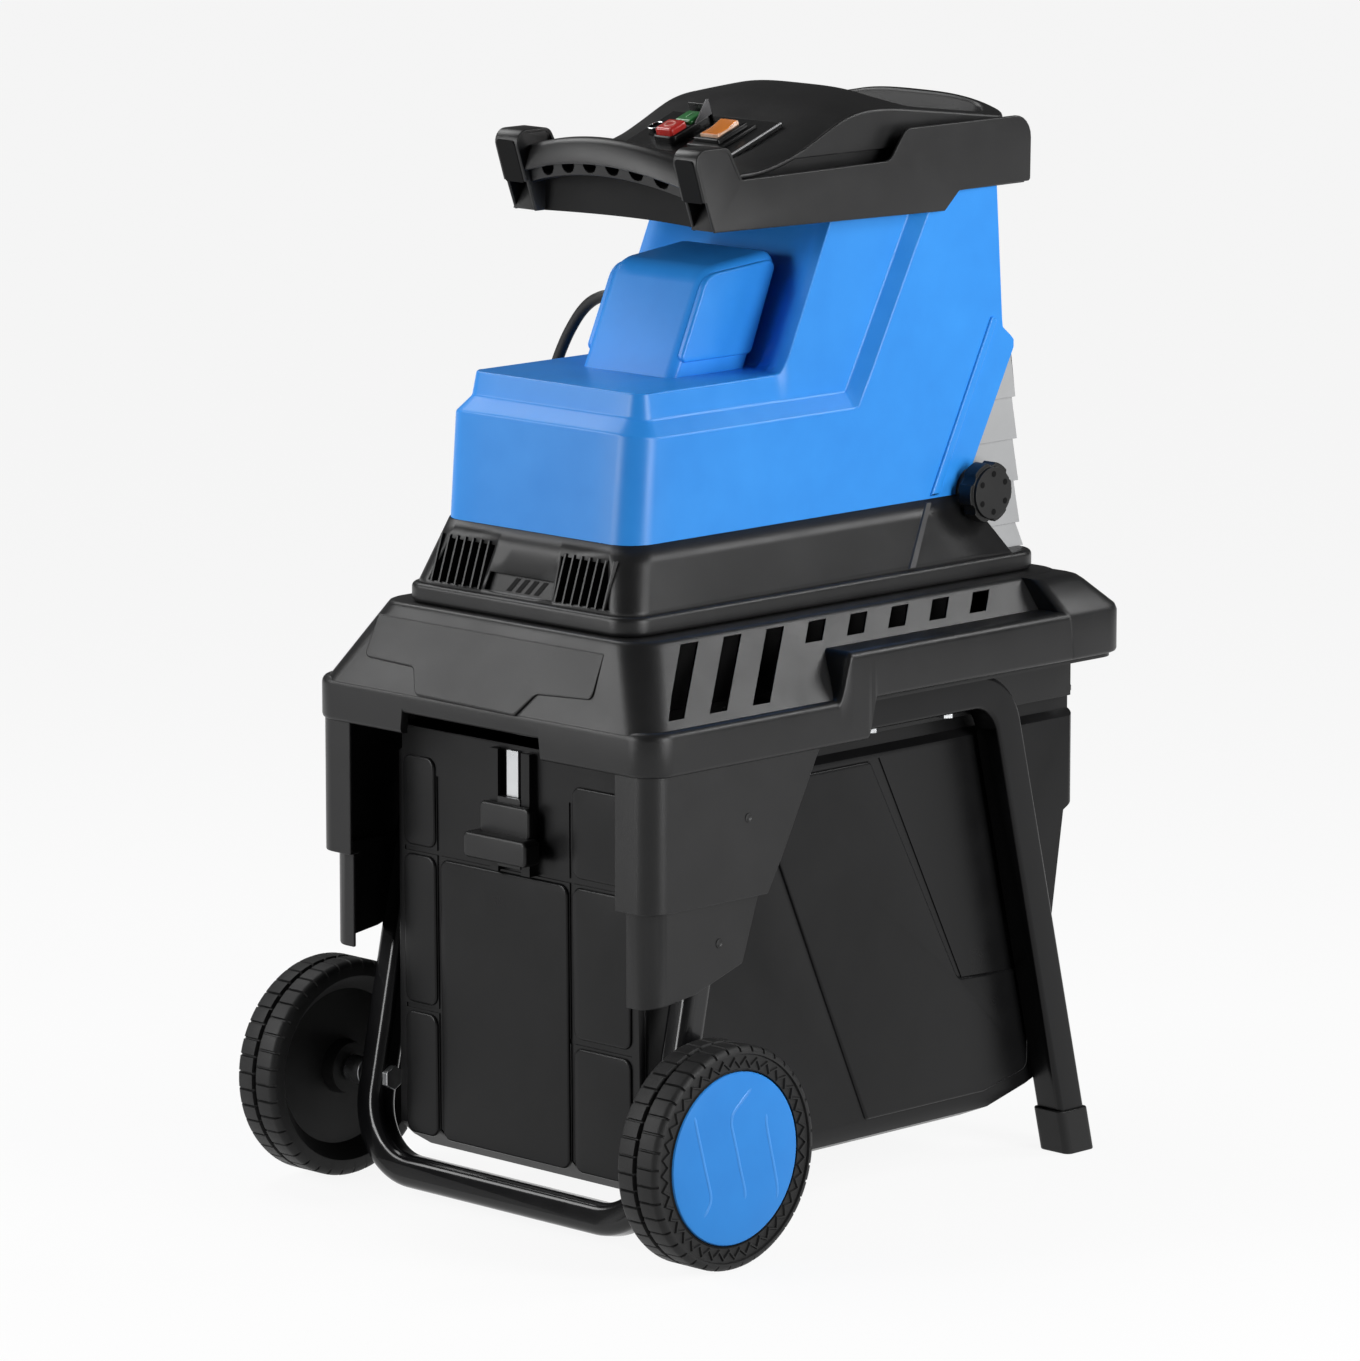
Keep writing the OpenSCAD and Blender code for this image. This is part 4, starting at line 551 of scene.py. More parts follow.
def makeChassis():
    piece = formPiece("chassis_shell", bothSides([chassisBody()]), "stand", blackMould, ["chassis"], sharp=45)
    addWall(piece, chassis["wall"])
    softEdges(piece, chassis["slotSoft"])
    # a dark box inside the chassis is painted shade: it keeps the slots black where the floor would show through
    *plan, low, high = chassis["liner"]
    liner = slabArrays(centred(*plan), low, high, "z", 1)
    trimPiece("chassis_shade_liner", [liner], paintedShadeBlack, sharp=35)
    deck = frameArrays(chassis["deck"], chassis["chute"], chassis["deckRadius"], *chassis["deckSpan"], 0.5)
    right, left = [rimArrays(notch) for notch in chassis["notch"][:2]]
    trimPiece("chassis_field", [fieldArrays()], blackMould, sharp=12)
    rim = [right, mirrored(left), bumperArrays(), deck]
    trimPiece("chassis_rim", rim, blackMould, sharp=45)


makeChassis()
print("chassis ready")

# Lower housing
housing = {
    "flange": (138.2, -227.2, 281), "flangeRadius": 25, "flangeSoft": 4.5, "floor": (516, 533), "wall": 3,
    "taper": [(532, 134.5, -223.2, 24), (588, 117, -204.2, 27)], "rear": (203, 588, 42 / 55),
    "levels": [532, 537, 552, 573, 588], "shares": [0, 0.19, 0.375, 0.41, 1.0], "fins": 7, "pitch": 9.6,
    "first": 46, "finHalf": 1.2, "finSpan": (536.5, 576), "proud": 2.2, "deep": 12, "back": 13, "panelBack": 5,
    "grille": [(35, 533), (113, 533), (113, 578), (35, 578)], "slots": (-19, 11, 4),
    "slit": (5.5, 9, 537.5, 549), "panel": [(-45, 534), (45, 534), (45, 555), (-45, 555)],
    "ribUp": (-1, 1.6, 0.9), "rib": [(113, 534), (122, 534), (160, 586), (152, 586)]}


def taperArrays():
    # half loops that end at the slanting rear edge; cells of the grilles and the middle panel are left out
    loops = []
    shares, (rearY, top, slant) = np.array(housing["shares"]), housing["rear"]
    a = np.linspace(-math.pi / 2, 0, 12)[1:]
    for z in housing["levels"]:
        half, front, radius = rowAt(housing["taper"], z)
        rear = rearY + (top - z) * slant
        x = np.concatenate([shares * (half - radius), half - radius + radius * np.cos(a), np.full(6, half)])
        y = np.concatenate([np.full(len(shares), front), front + radius + radius * np.sin(a),
                            np.linspace(front + radius, rear, 7)[1:]])
        loops.append(atLevel(np.stack([x, y], -1), z))
    grid, faces = surface(loops)
    row, col = np.divmod(np.arange(len(faces)), grid.shape[1] - 1)
    grille = (col == 3) & (row >= 1) & (row <= 2)
    middle = (col <= 1) & (row == 1)
    return grid, faces[~(grille | middle)]


def onFront(corners, back):
    # a four-cornered plate behind the leaning front
    return np.array([(x, rowAt(housing["taper"], z)[1] + back, z) for x, z in corners]), [[0, 1, 2, 3]]


def makeHousing():
    piece = formPiece("housing_shell", bothSides([taperArrays()]), "stand", blackMould, ["lower_housing"])
    addWall(piece, housing["wall"])
    flange = roundCorners(centred(*housing["flange"]), [housing["flangeRadius"]] * 4, 10)
    band = slabArrays(flange, *housing["floor"], "z", housing["flangeSoft"], 6)
    low, high = housing["finSpan"]
    foot, head = [rowAt(housing["taper"], z)[1] for z in (low, high)]
    proud, deep, thin = housing["proud"], housing["deep"], housing["finHalf"]
    finLine = np.array([(foot - proud, low), (head - proud, high), (head + deep, high), (foot + deep, low)])
    middles = housing["first"] + housing["pitch"] * np.arange(housing["fins"])
    fins = [slabArrays(finLine, x - thin, x + thin, "x", 0.5) for x in middles]
    ribLine = np.array(housing["rib"], float)
    out = np.array([rowAt(housing["taper"], z)[0] for z in ribLine[:, 1]])
    sunk, raised, shrink = housing["ribUp"]
    rib = np.concatenate([np.column_stack([out + sunk, ribLine]),
                          np.column_stack([out + raised, insetOutline(ribLine, shrink)])])
    rib = (rib, [[4, 5, 6, 7], [0, 1, 5, 4], [1, 2, 6, 5], [2, 3, 7, 6], [3, 0, 4, 7]])
    # the ribs take the lighter grey as a painted highlight on the black housing
    trimPiece("housing_ribs", bothSides([rib]), ribPaintedSheen, sharp=30)
    trimPiece("housing_fins", [band] + bothSides(fins), blackMould)
    # dark plates behind the grilles and in the middle panel's slits are painted shade for the openings
    plates = [onFront([(side * x, z) for x, z in housing["grille"]], housing["back"]) for side in (1, -1)]
    first, step, slots = housing["slots"]
    wide, lean, low, high = housing["slit"]
    for foot in first + step * np.arange(slots):
        slit = [(foot, low), (foot + wide, low), (foot + lean + wide, high), (foot + lean, high)]
        plates.append(onFront(slit, housing["panelBack"] - 0.5))
    trimPiece("housing_painted_shade", plates, paintedShadeBlack)
    # the recessed middle plate takes the darker, duller box finish as painted shade in the recess
    plate = onFront(housing["panel"], housing["panelBack"])
    trimPiece("housing_panel_painted_shade", [plate], boxMould)


makeHousing()
print("housing ready")

# Collection box: raised fields between its moulded lines, and the lock with its two ledges
box = {
    "half": 149, "front": (-225, 409, 3 / 349), "up": 2.4, "soft": 2.3, "corner": 9, "sunk": 2.5,
    "columns": [(-137, -98), (69, 137)], "rows": [(52, 160), (167.5, 298), (305.5, 384)],
    "middle": ((-92, 63), (52, 298)), "sideUp": 2.4, "sideSoft": 2.4,
    "side": [(-94, 378), (50, 378), (162, 171), (252, 167), (252, 76), (196, 64), (47, 64)],
    "sideRadii": [2, 5, 9, 4, 10, 10, 4],
    "lock": [((-17.7, 17.7), (305, 365), (-229, -225.3), 1, 0.5),
             ((-13.7, 13.7), (305, 365), (-233, -228.8), 1, 0.3),
             ((-30, 30), (331, 360), (-239, -232.3), 5, 2.6),
             ((-38, 38), (312, 334.5), (-251, -232.3), 5.5, 3.2)]}


def makeBox():
    face, top, lean = box["front"]
    parts = []
    for column, row in [(column, row) for column in box["columns"] for row in box["rows"]] + [box["middle"]]:
        outline = rectangle(column, row, box["corner"])
        points, faces = slabArrays(outline, face - box["up"], face + box["up"], "y", box["soft"], 4)
        points[:, 1] += (top - points[:, 2]) * lean
        parts.append((points, faces))
    low, high = box["half"] - box["sunk"], box["half"] + box["sideUp"]
    flank = slabArrays(outlineOf(box, "side"), low, high, "x", box["sideSoft"], 4)
    formPiece("box_fields", parts + bothSides([flank]), "box_unit", boxMould, sharp=50)
    ledges = [slabArrays(rectangle(x, z, radius), *y, "y", soft, 5) for x, z, y, radius, soft in box["lock"]]
    formPiece("lock_shape", ledges, "lock_unit", blackMould, ["lock_slider"], sharp=50)


makeBox()
print("box ready")

# Rear cover: shingles, each a little wider at its lower edge; and the knob's six holes, drawn as dark discs of
# painted shade
cover = {
    "front": [(533, 245), (588, 203), (611, 213), (709, 264)],
    "levels": [(533, 556), (554, 593), (591, 630), (628, 667), (665, 709)],
    "out": [(282, 272), (277, 270), (275, 268.5), (273, 267), (270.5, 264.5)], "half": (113.6, 112.2),
    "soft": 0.0014, "knob": (142.7, 212, 590, 16.5, 2.7), "holes": 6, "round": 20}


def makeCover():
    # lower and upper rectangle of every shingle, from the slanting front line to its own rear edge
    z, out, line = [np.array(cover[name], float) for name in ("levels", "out", "front")]
    near = np.interp(z, line[:, 0], line[:, 1]) + 1
    half = np.broadcast_to(np.array(cover["half"]), z.shape)
    corners = [np.stack([x, y, z], -1) for x, y in ((-half, near), (half, near), (half, out), (-half, out))]
    sides = [[3, 2, 1, 0], [4, 5, 6, 7], [0, 1, 5, 4], [1, 2, 6, 5], [2, 3, 7, 6], [3, 0, 4, 7]]
    shingles = [(block, sides) for block in np.stack(corners, 2)]
    piece = formPiece("cover_shingles", shingles, "stand", greyMould, ["rear_cover"], sharp=35)
    softEdges(piece, cover["soft"])
    x, y, height, ring, hole = cover["knob"]
    count, steps = cover["holes"], cover["round"]
    a = np.radians(np.arange(count) * 360 / count + 30)[:, None]
    b = fullTurn(steps)[None]
    discs = np.stack([0 * a + 0 * b + x, y + ring * np.cos(a) + hole * np.cos(b),
                      height + ring * np.sin(a) + hole * np.sin(b)], -1)
    loops = np.arange(count * steps).reshape(count, steps).tolist()
    # the six holes are flat dark discs: painted shade for their depth
    formPiece("knob_hole_shade", [(discs, loops)], "knob_unit", paintedShadeBlack, sharp=35)


makeCover()
print("cover ready")

# Hood
hood = {
    "soft": 0.005, "half": 116, "inner": 105, "base": 588, "low": 712, "top": 852,
    "rows": [165.2, 152, 139, 112, 86, 71, 65, 60, *range(56, -24, -4), -30, -44, -70, -100, -130, -150],
    "across": [94, 91, 88, 85, 82, 79, 60, 42, 20, 0], "front": [66, 44, 22, 0],
    "rear": [(213, 611), (266, 711), (266, 716), (262, 720), (252, 728), (251, 735), (243, 852)],
    "block": [(-98, 705), (-53, 801), (40, 811), (-5, 705)], "blockRadii": [0, 26, 11, 0], "blockHalf": 55,
    "blockSoft": 10, "pad": [(-86, 724), (-53, 796), (32, 803), (0, 724)], "padRadii": [5, 20, 7, 7],
    "padUp": 2.2, "wall": (676, 71), "shoulder": (690, 65), "rise": 1.878, "flat": 86, "lean": (4, -4, 12),
    "fold": (52, 11, 18, 120, 55, 25), "notch": (212, 590, 20), "leftFoot": (196, 588), "ribUp": 2,
    "corner": [(90, -177, 26, 588, 588), (91, -174, 25, 632, 634), (92, -171, 24, 676, 680),
               (89, -166, 16, 690, 692), (89, -166, 14, 701, 702), (89, -166, 12, 712, 712)],
    "rib": [(159, 590), (170, 590), (243, 735), (236, 740)], "ribRadii": [1, 1, 3, 3]}


def hoodTop(x, y):
    # flat front part, then a smooth fold up the tower's front, whose foot lies deeper towards the middle
    wide, start, sink, up, along, soft = hood["fold"]
    deep = np.clip((hood["inner"] - hood["lean"][0] - np.abs(x)) / wide, 0, 1)
    climb = (y + start - sink * deep * deep * (3 - 2 * deep)) * up / along
    return np.minimum(hood["top"], hood["low"] + 0.5 * (climb + np.sqrt(climb * climb + soft)))


def hoodArrays():
    # levels of wall, shoulder and upper wall at every station along the side, round the corner and the front
    y = np.array(hood["rows"], float)
    lean, start, run = hood["lean"]
    edge = hood["inner"] - lean * np.clip((start - y) / run, 0, 1)
    high = hoodTop(edge, y)
    wall, shoulder = [np.minimum(z + hood["rise"] * np.maximum(y - start, 0), high)
                      for z, start in (hood["wall"], hood["shoulder"])]
    half, inner = np.full_like(y, hood["half"]), np.full_like(y, hood["inner"])
    base = np.full_like(y, hood["base"])
    side = np.stack([np.stack([x, y, z], -1) for x, z in (
        (half, base), (half, (base + wall) / 2), (half, wall), (inner, shoulder),
        ((inner + edge) / 2, (shoulder + high) / 2), (edge, high))])
    turn = np.radians([0, 15, 30, 45, 60, 75, 90])[None]
    cx, cy, r, start, end = np.array(hood["corner"]).T[..., None]
    rising = start + (end - start) * turn / turn.max()
    corner = np.stack([cx + r * np.cos(turn), cy - r * np.sin(turn), rising], -1)
    across = np.array(hood["front"], float)[None] + 0 * cx
    front = np.stack([across, cy - r + 0 * across, end + 0 * across], -1)
    ring = np.concatenate([corner, front], 1)
    skin = np.concatenate([side, ring], 1)
    flat = y <= hood["flat"]
    seam = hood["inner"] - lean
    share = np.array([seam] + hood["across"], float)[:, None] / seam
    x = share * edge[flat]
    roof = np.stack([x, y[flat] + 0 * x, hoodTop(x, y[flat])], -1)
    return [surface(skin), surface(roof), surface([ring[5], roof[:, -1]])], side[:3, 0]


def makeHood():
    parts, seam = hoodArrays()
    a = np.radians([186, 168, 150, 132, 114, 96])
    y, z, radius = hood["notch"]  # room for the knob on the right side
    notch = np.stack([y + radius * np.cos(a), z + radius * np.sin(a)], -1)
    notch[0, 1] = hood["base"]
    sides = [mirrored(part) for part in parts]
    for foot, side in ((notch, 1), (np.array([hood["leftFoot"]]), -1)):
        outline = np.vstack([foot, hood["rear"]])
        flank = np.vstack([seam, np.column_stack([np.full(len(outline), hood["half"]), outline])[::-1]])
        part = (flank, [list(range(len(flank)))])
        parts.append(part if side > 0 else mirrored(part))
    rear = np.array(hood["rear"][1:], float)
    back = surface([np.column_stack([np.full(len(rear), x), rear]) for x in (hood["half"], -hood["half"])])
    piece = formPiece("hood_skin", parts + sides + [back], "stand", blueMould, ["hood"])
    softEdges(piece, hood["soft"], 4, 20)
    half, padUp, ribUp = hood["blockHalf"], hood["padUp"], hood["ribUp"]
    block = slabArrays(outlineOf(hood, "block"), -half, half, "x", hood["blockSoft"], 5)
    pad = slabArrays(outlineOf(hood, "pad"), half - 5, half + padUp, "x", padUp, 4)
    ribLine, side = outlineOf(hood, "rib", 4), hood["half"]
    rib = slabArrays(ribLine, side - ribUp, side + ribUp, "x", ribUp, 4)
    block = [block] + bothSides([pad]) + bothSides([rib])
    formPiece("hood_block", block, "stand", blueMould, sharp=45)


makeHood()
print("hood ready")

# Hopper
hopper = {
    "crest": 942, "half": 120, "sheet": 3, "horn": 93, "centre": (0, 193), "step": 4, "across": 64,
    "body": (105, -94, 268), "bodyRadius": 12, "soft": 3.5, "mouth": (95, 124, 262), "mouthRadius": 30,
    "mouthSoft": 5, "throat": (88, 128, 236), "throatRadius": 20, "plate": (118, -76, 279), "plateRadius": 6,
    "under": 852, "over": 855,
    "along": [-94, -40, -20, 9, 30, 50, 65, 80, 97, 112, 124, 136, 155, 185, 225, 252, 268],
    "edgeDrop": [57, 55.5, 52, 44, 35, 25.5, 19, 15.5, 14, 14.6, 15.4, 16.8, 19.3, 23.1, 28.2, 31.5, 33],
    "crownDrop": [52, 48, 42, 31.5, 24, 17, 12.4, 8.4, 4.6, 1.6, 0.3, 0, 2, 5.6, 11.2, 15.2, 18],
    "panelDip": 3, "panel": (68, -38, 30), "dipEdge": (2, 4), "cheekLow": 893.5, "groove": 0.06,
    "reach": (-110, 290, 401), "smooth": 50,
    "edgeSoft": {"wall": 1.3, "cheek": 1.0, "cap": 1.1, "back": 0.5, "foot": 0.3, "rear": 1.0},
    "wall": [(-108, 842), (173, 836), (191, 852), (281, 853), (282, 911), (124, 911), (104, 885), (-75, 884),
             (-92, 911.6), (-134.3, 911.6)], "wallRadii": [1, 1, 1, 3, 20, 12, 12, 2, 10, 11],
    "cheek": [(-108, 842), (-92, 842), (-88, 884), (-93, 910), (-132.5, 910)], "cheekRadii": [1, 1, 4, 8, 9],
    "cap": [(-120, 868), (-134.7, 912.4), (-91.6, 912.4), (-76, 885)], "capRadii": [0, 11, 10, 0],
    "capThick": 3, "foot": [(-110, 843), (-94, 876), (-92, 876), (-92, 843)],
    "back": ((842, 910), (-95, -92)), "rear": ((853, 897), (277, 280)),
    "lipTop": 914, "lipSag": 13, "lipSet": 8, "finger": 27, "fingers": 6, "fingerHalf": 7.8, "fingerDeep": 11,
    "fingerTall": 8.2, "lipBend": (-88, 30), "stripRows": 14, "fingerEdge": 0.25,
    "lip": [(-88, -20), (-100, -11), (-111, -3.4), (-116, -1.2), (-120.5, -1.6), (-123.6, -3.4), (-125.6, -6.4),
            (-129.6, -20.6), (-129.6, -22.4), (-128.4, -23.4), (-126, -23.4), (-124, -23)],
    "strip": [(-123.4, -23), (-121.6, -33)], "lipBack": [(-118.4, -34), (-110, -34), (-108, -16), (-88, -24)],
    "apron": (-97, 14, 842, 891), "channel": [(95.6, 867), (117.4, 867), (117.4, 904), (95.6, 904)],
    "channelRadii": [1, 1, 5, 5], "slope": (-120.5, 868, 14.7, 44.4)}


def denseLoop(outline, step):
    # closed outline sampled at even steps of its own length
    ring = np.vstack([outline, outline[:1]])
    at = pathLengths(ring)
    t = np.linspace(0, at[-1], int(at[-1] / step), endpoint=False)
    return np.stack([np.interp(t, at, ring[:, 0]), np.interp(t, at, ring[:, 1])], -1)


def fromMiddle(name, step):
    outline = roundCorners(centred(*hopper[name]), [hopper[name + "Radius"]] * 4, 10)
    return denseLoop(outline, step) - hopper["centre"]


def rayLoop(name, angles):
    # where rays from the mouth's middle meet a rounded outline
    offset = fromMiddle(name, 0.5)
    bearing, reach = np.arctan2(offset[:, 1], offset[:, 0]), np.hypot(*offset.T)
    order = np.argsort(bearing)
    r = np.interp(angles, bearing[order], reach[order], period=2 * math.pi)
    return np.stack([r * np.cos(angles), r * np.sin(angles)], -1) + hopper["centre"]


def domeTop(x, y):
    # drop of the side edges and of the middle along the hopper, with a cubic crown between them
    at = np.linspace(*hopper["reach"])
    drops = np.stack([np.interp(at, hopper["along"], hopper[name]) for name in ("edgeDrop", "crownDrop")])
    for _ in range(hopper["smooth"]):
        drops[:, 1:-1] = (drops[:, :-2] + 2 * drops[:, 1:-1] + drops[:, 2:]) / 4
    edge, crown = np.interp(y, at, drops[0]), np.interp(y, at, drops[1])
    side = np.clip(np.abs(x) / hopper["body"][0], 0, 1)
    half, low, high = hopper["panel"]
    inside = np.minimum(half - np.abs(x), np.minimum(y - low, high - y))
    start, run = hopper["dipEdge"]
    dip = hopper["panelDip"] * np.clip((inside - start) / run, 0, 1)
    return hopper["crest"] - crown - (edge - crown) * side ** 3 - dip


def bodyArrays():
    # loops round the mouth: up its wall, over its lip, across the dome, down the cheek and back under the plate
    soft, brimSoft, under, over = [hopper[name] for name in ("soft", "mouthSoft", "under", "over")]
    rim = fromMiddle("body", hopper["step"])
    angles = np.arctan2(rim[:, 1], rim[:, 0])
    body, mouth, throat, plate = [rayLoop(name, angles) for name in ("body", "mouth", "throat", "plate")]
    turn = np.linspace(0, math.pi / 2, 6)
    outward = (body - mouth) / np.linalg.norm(body - mouth, axis=1, keepdims=True)
    inner, outer = mouth + outward * brimSoft, body - outward * soft
    brim, shoulder = domeTop(*inner.T), domeTop(*outer.T)
    loops = [atLevel(throat, under)]
    loops += [atLevel(inner - outward * brimSoft * math.cos(a), brim - brimSoft * (1 - math.sin(a))) for a in turn]
    for share in np.linspace(0, 1, hopper["across"])[1:]:
        spot = inner + (outer - inner) * share
        loops.append(atLevel(spot, domeTop(*spot.T)))
    loops += [atLevel(outer + outward * soft * math.sin(a), shoulder - soft * (1 - math.cos(a))) for a in turn[1:]]
    ledge = np.minimum(hopper["cheekLow"], shoulder - soft - 0.5)
    neck = body - hopper["groove"] * (body - hopper["centre"])
    loops += [atLevel(body, ledge + 1), atLevel(body - 0.3 * outward, ledge + 0.3), atLevel(body - outward, ledge),
              atLevel(neck, ledge), atLevel(neck, over), atLevel(plate, over), atLevel(plate, under)]
    return surface(loops, True, True)


def lipArrays():
    # the lip's section carried across on an arch; the strip under its edge is pressed in at each finger
    x = np.arange(-hopper["horn"] - 1.5, hopper["horn"] + 1.6, 1.0)
    arch = hopper["lipTop"] - hopper["lipSag"] * (x / hopper["horn"]) ** 2
    rows = np.linspace(0, 1, hopper["stripRows"])[:, None]
    top, low = np.array(hopper["strip"], float)
    strip = top + (low - top) * rows
    section = np.vstack([hopper["lip"], strip, hopper["lipBack"]])
    press = np.zeros((len(section), len(x)))
    first = len(hopper["lip"])
    middles = (np.arange(hopper["fingers"]) - (hopper["fingers"] - 1) / 2) * hopper["finger"]
    fall = rows * (top[1] - low[1])
    for middle in middles:
        oval = ((x - middle) / hopper["fingerHalf"]) ** 2 + (fall / hopper["fingerTall"]) ** 2
        press[first:first + len(rows)] += hopper["fingerDeep"] * np.clip((1 - oval) / hopper["fingerEdge"], 0, 1)
    start, run = hopper["lipBend"]
    back = hopper["lipSet"] * (x / hopper["horn"]) ** 2 * np.clip((start - section[:, :1]) / run, 0, 1)
    return tubeArrays(np.stack([x + 0 * press, section[:, :1] + press + back, section[:, 1:] + arch], -1))


def apronArrays():
    # a sheet bowed back towards its middle
    front, bow, low, high = hopper["apron"]
    x = np.linspace(-hopper["horn"] - 1, hopper["horn"] + 1, 49)
    y = front + bow * (1 - (x / hopper["horn"]) ** 2)
    ring = [(0, low), (0, high), (hopper["sheet"], high), (hopper["sheet"], low)]
    return tubeArrays([np.stack([x, y + back, 0 * x + z], -1) for back, z in ring])


def bandArrays(path, thick, low, high, soft):
    # an open path in the upright plane thickened inwards and carried across, with rounded long edges
    ahead = np.gradient(path, axis=0)
    ahead /= np.linalg.norm(ahead, axis=1, keepdims=True)
    inward = np.stack([ahead[:, 1], -ahead[:, 0]], -1)
    turn = np.linspace(0, math.pi / 2, 4)
    ring = [(soft * (1 - math.sin(a)), low + soft * (1 - math.cos(a))) for a in turn]
    ring += [(soft * (1 - math.cos(a)), high - soft * (1 - math.sin(a))) for a in turn]
    ring += [(thick, high), (thick, low)]
    return tubeArrays([np.column_stack([np.full(len(path), x), path + inward * deep]) for deep, x in ring])


def makeHopper():
    half, sheet, horn, soft = [hopper[name] for name in ("half", "sheet", "horn", "edgeSoft")]
    wall = slabArrays(outlineOf(hopper, "wall"), half - sheet, half, "x", soft["wall"], 4)
    cheek = slabArrays(outlineOf(hopper, "cheek"), horn, horn + sheet, "x", soft["cheek"])
    band = bandArrays(outlineOf(hopper, "cap", 8), hopper["capThick"], horn - 0.3, half + 0.3, soft["cap"])
    tall, deep = hopper["back"]
    back = slabArrays(rectangle((horn, half - 1), tall), *deep, "y", soft["back"])
    foot = slabArrays(np.array(hopper["foot"], float), horn + 1, half - 1, "x", soft["foot"])
    tall, deep = hopper["rear"]
    rear = slabArrays(rectangle((1 - half, half - 1), tall), *deep, "y", soft["rear"])
    parts = [bodyArrays(), lipArrays(), rear] + bothSides([wall, cheek, band, back, foot])
    formPiece("hopper_shell", parts, "stand", hopperMould, ["hopper"])
    # the apron under the lip takes the darker finish as painted shade
    trimPiece("hopper_apron", [apronArrays()], apronShadeMould)
    # the horns' open front channels are flat dark plates: painted shade
    flat = outlineOf(hopper, "channel")
    front, low, lean, rise = hopper["slope"]
    channel = np.column_stack([flat[:, 0], front - (flat[:, 1] - low) * lean / rise, flat[:, 1]])
    channels = bothSides([(channel, [list(range(len(flat)))])])
    trimPiece("hopper_channel_shade", channels, paintedShadeBlack)


makeHopper()
print("hopper ready")

# Controls, in millimetres across, up and out of the sloping panel
panel = {
    "place": (-38, 893), "tilt": 20, "edge": ((63.2, 65), (1, 71)), "edgeForm": (0.8, 2.2, 0.6, 0.6),
    "switch": ((-33, -7), (11, 61)), "buttons": ((-30.3, -9.7), (13.7, 58.3)), "switchForm": (6, 1, 9, 1.4),
    "bar": ((-30.5, -9.5), (34.3, 37.7)), "barForm": (1, 8.6, 0.3, 0.2),
    "wall": ((-33, -7), (61.2, 63)), "wallForm": (1, 17, 0.6, 0.5),
    "guard": [(39, 8.5), (61, 8.5), (61, 23), (59, 23)], "guardRadii": [0.5] * 4, "guardForm": (-7.4, -5.8, "x", 0.4),
    "stop": (-20, 24, 15), "start": (-20, 48, 12), "button": (10, 10), "buttonForm": (3, 2.4, 3),
    "ring": (4.6, 0.75), "line": (0.8, 4.2), "lineForm": (0.5, 0.4, 0.3, 0.7),
    "reset": (-48, 33, 7), "resetRing": (6.5, 0.75), "ringSunk": 0.1,
    "resetProfile": [(0, -8), (7, -8), (7, 6.4), (6.4, 7), (5.6, 7), (5.4, 5.4), (0, 5.4)],
    "rocker": (26, 36), "frames": [(19.8, 23.8, 4), (14.8, 18.8, 8)], "well": (10.8, 14.8),
    "frameForm": (1.6, 1, 0.9), "rimDrop": (5, 0.7), "rimSoft": 0.5, "core": (0.92, 1.3, 0.8),
    "amber": [(-13.5, 3), (13.5, 3), (13.5, 12), (0, 10), (-13.5, 10.5)], "amberHalf": 10.5}


def onPanel(part, middle=(0, 0)):
    # across, up and out become world millimetres
    points = np.asarray(part[0], float).reshape(-1, 3) + (*middle, 0)
    tilt = math.radians(panel["tilt"])
    y = panel["place"][0] + points[:, 1] * math.cos(tilt) - points[:, 2] * math.sin(tilt)
    z = panel["place"][1] + points[:, 1] * math.sin(tilt) + points[:, 2] * math.cos(tilt)
    return np.stack([points[:, 0], y, z], -1), part[1]


def ringArrays(radius, thick, level):
    # a circle carried round a circle
    a, b = np.meshgrid(fullTurn(12), fullTurn(48))
    r = radius + thick * np.cos(a)
    return surface(np.stack([r * np.cos(b), r * np.sin(b), level + thick * np.sin(a)], -1), True, True)


def spans(half, tall):
    return (-half, half), (-tall, tall)


def blockArrays(sides, low, high, soft, radius):
    return slabArrays(rectangle(*sides, radius), low, high, "z", soft, 4)


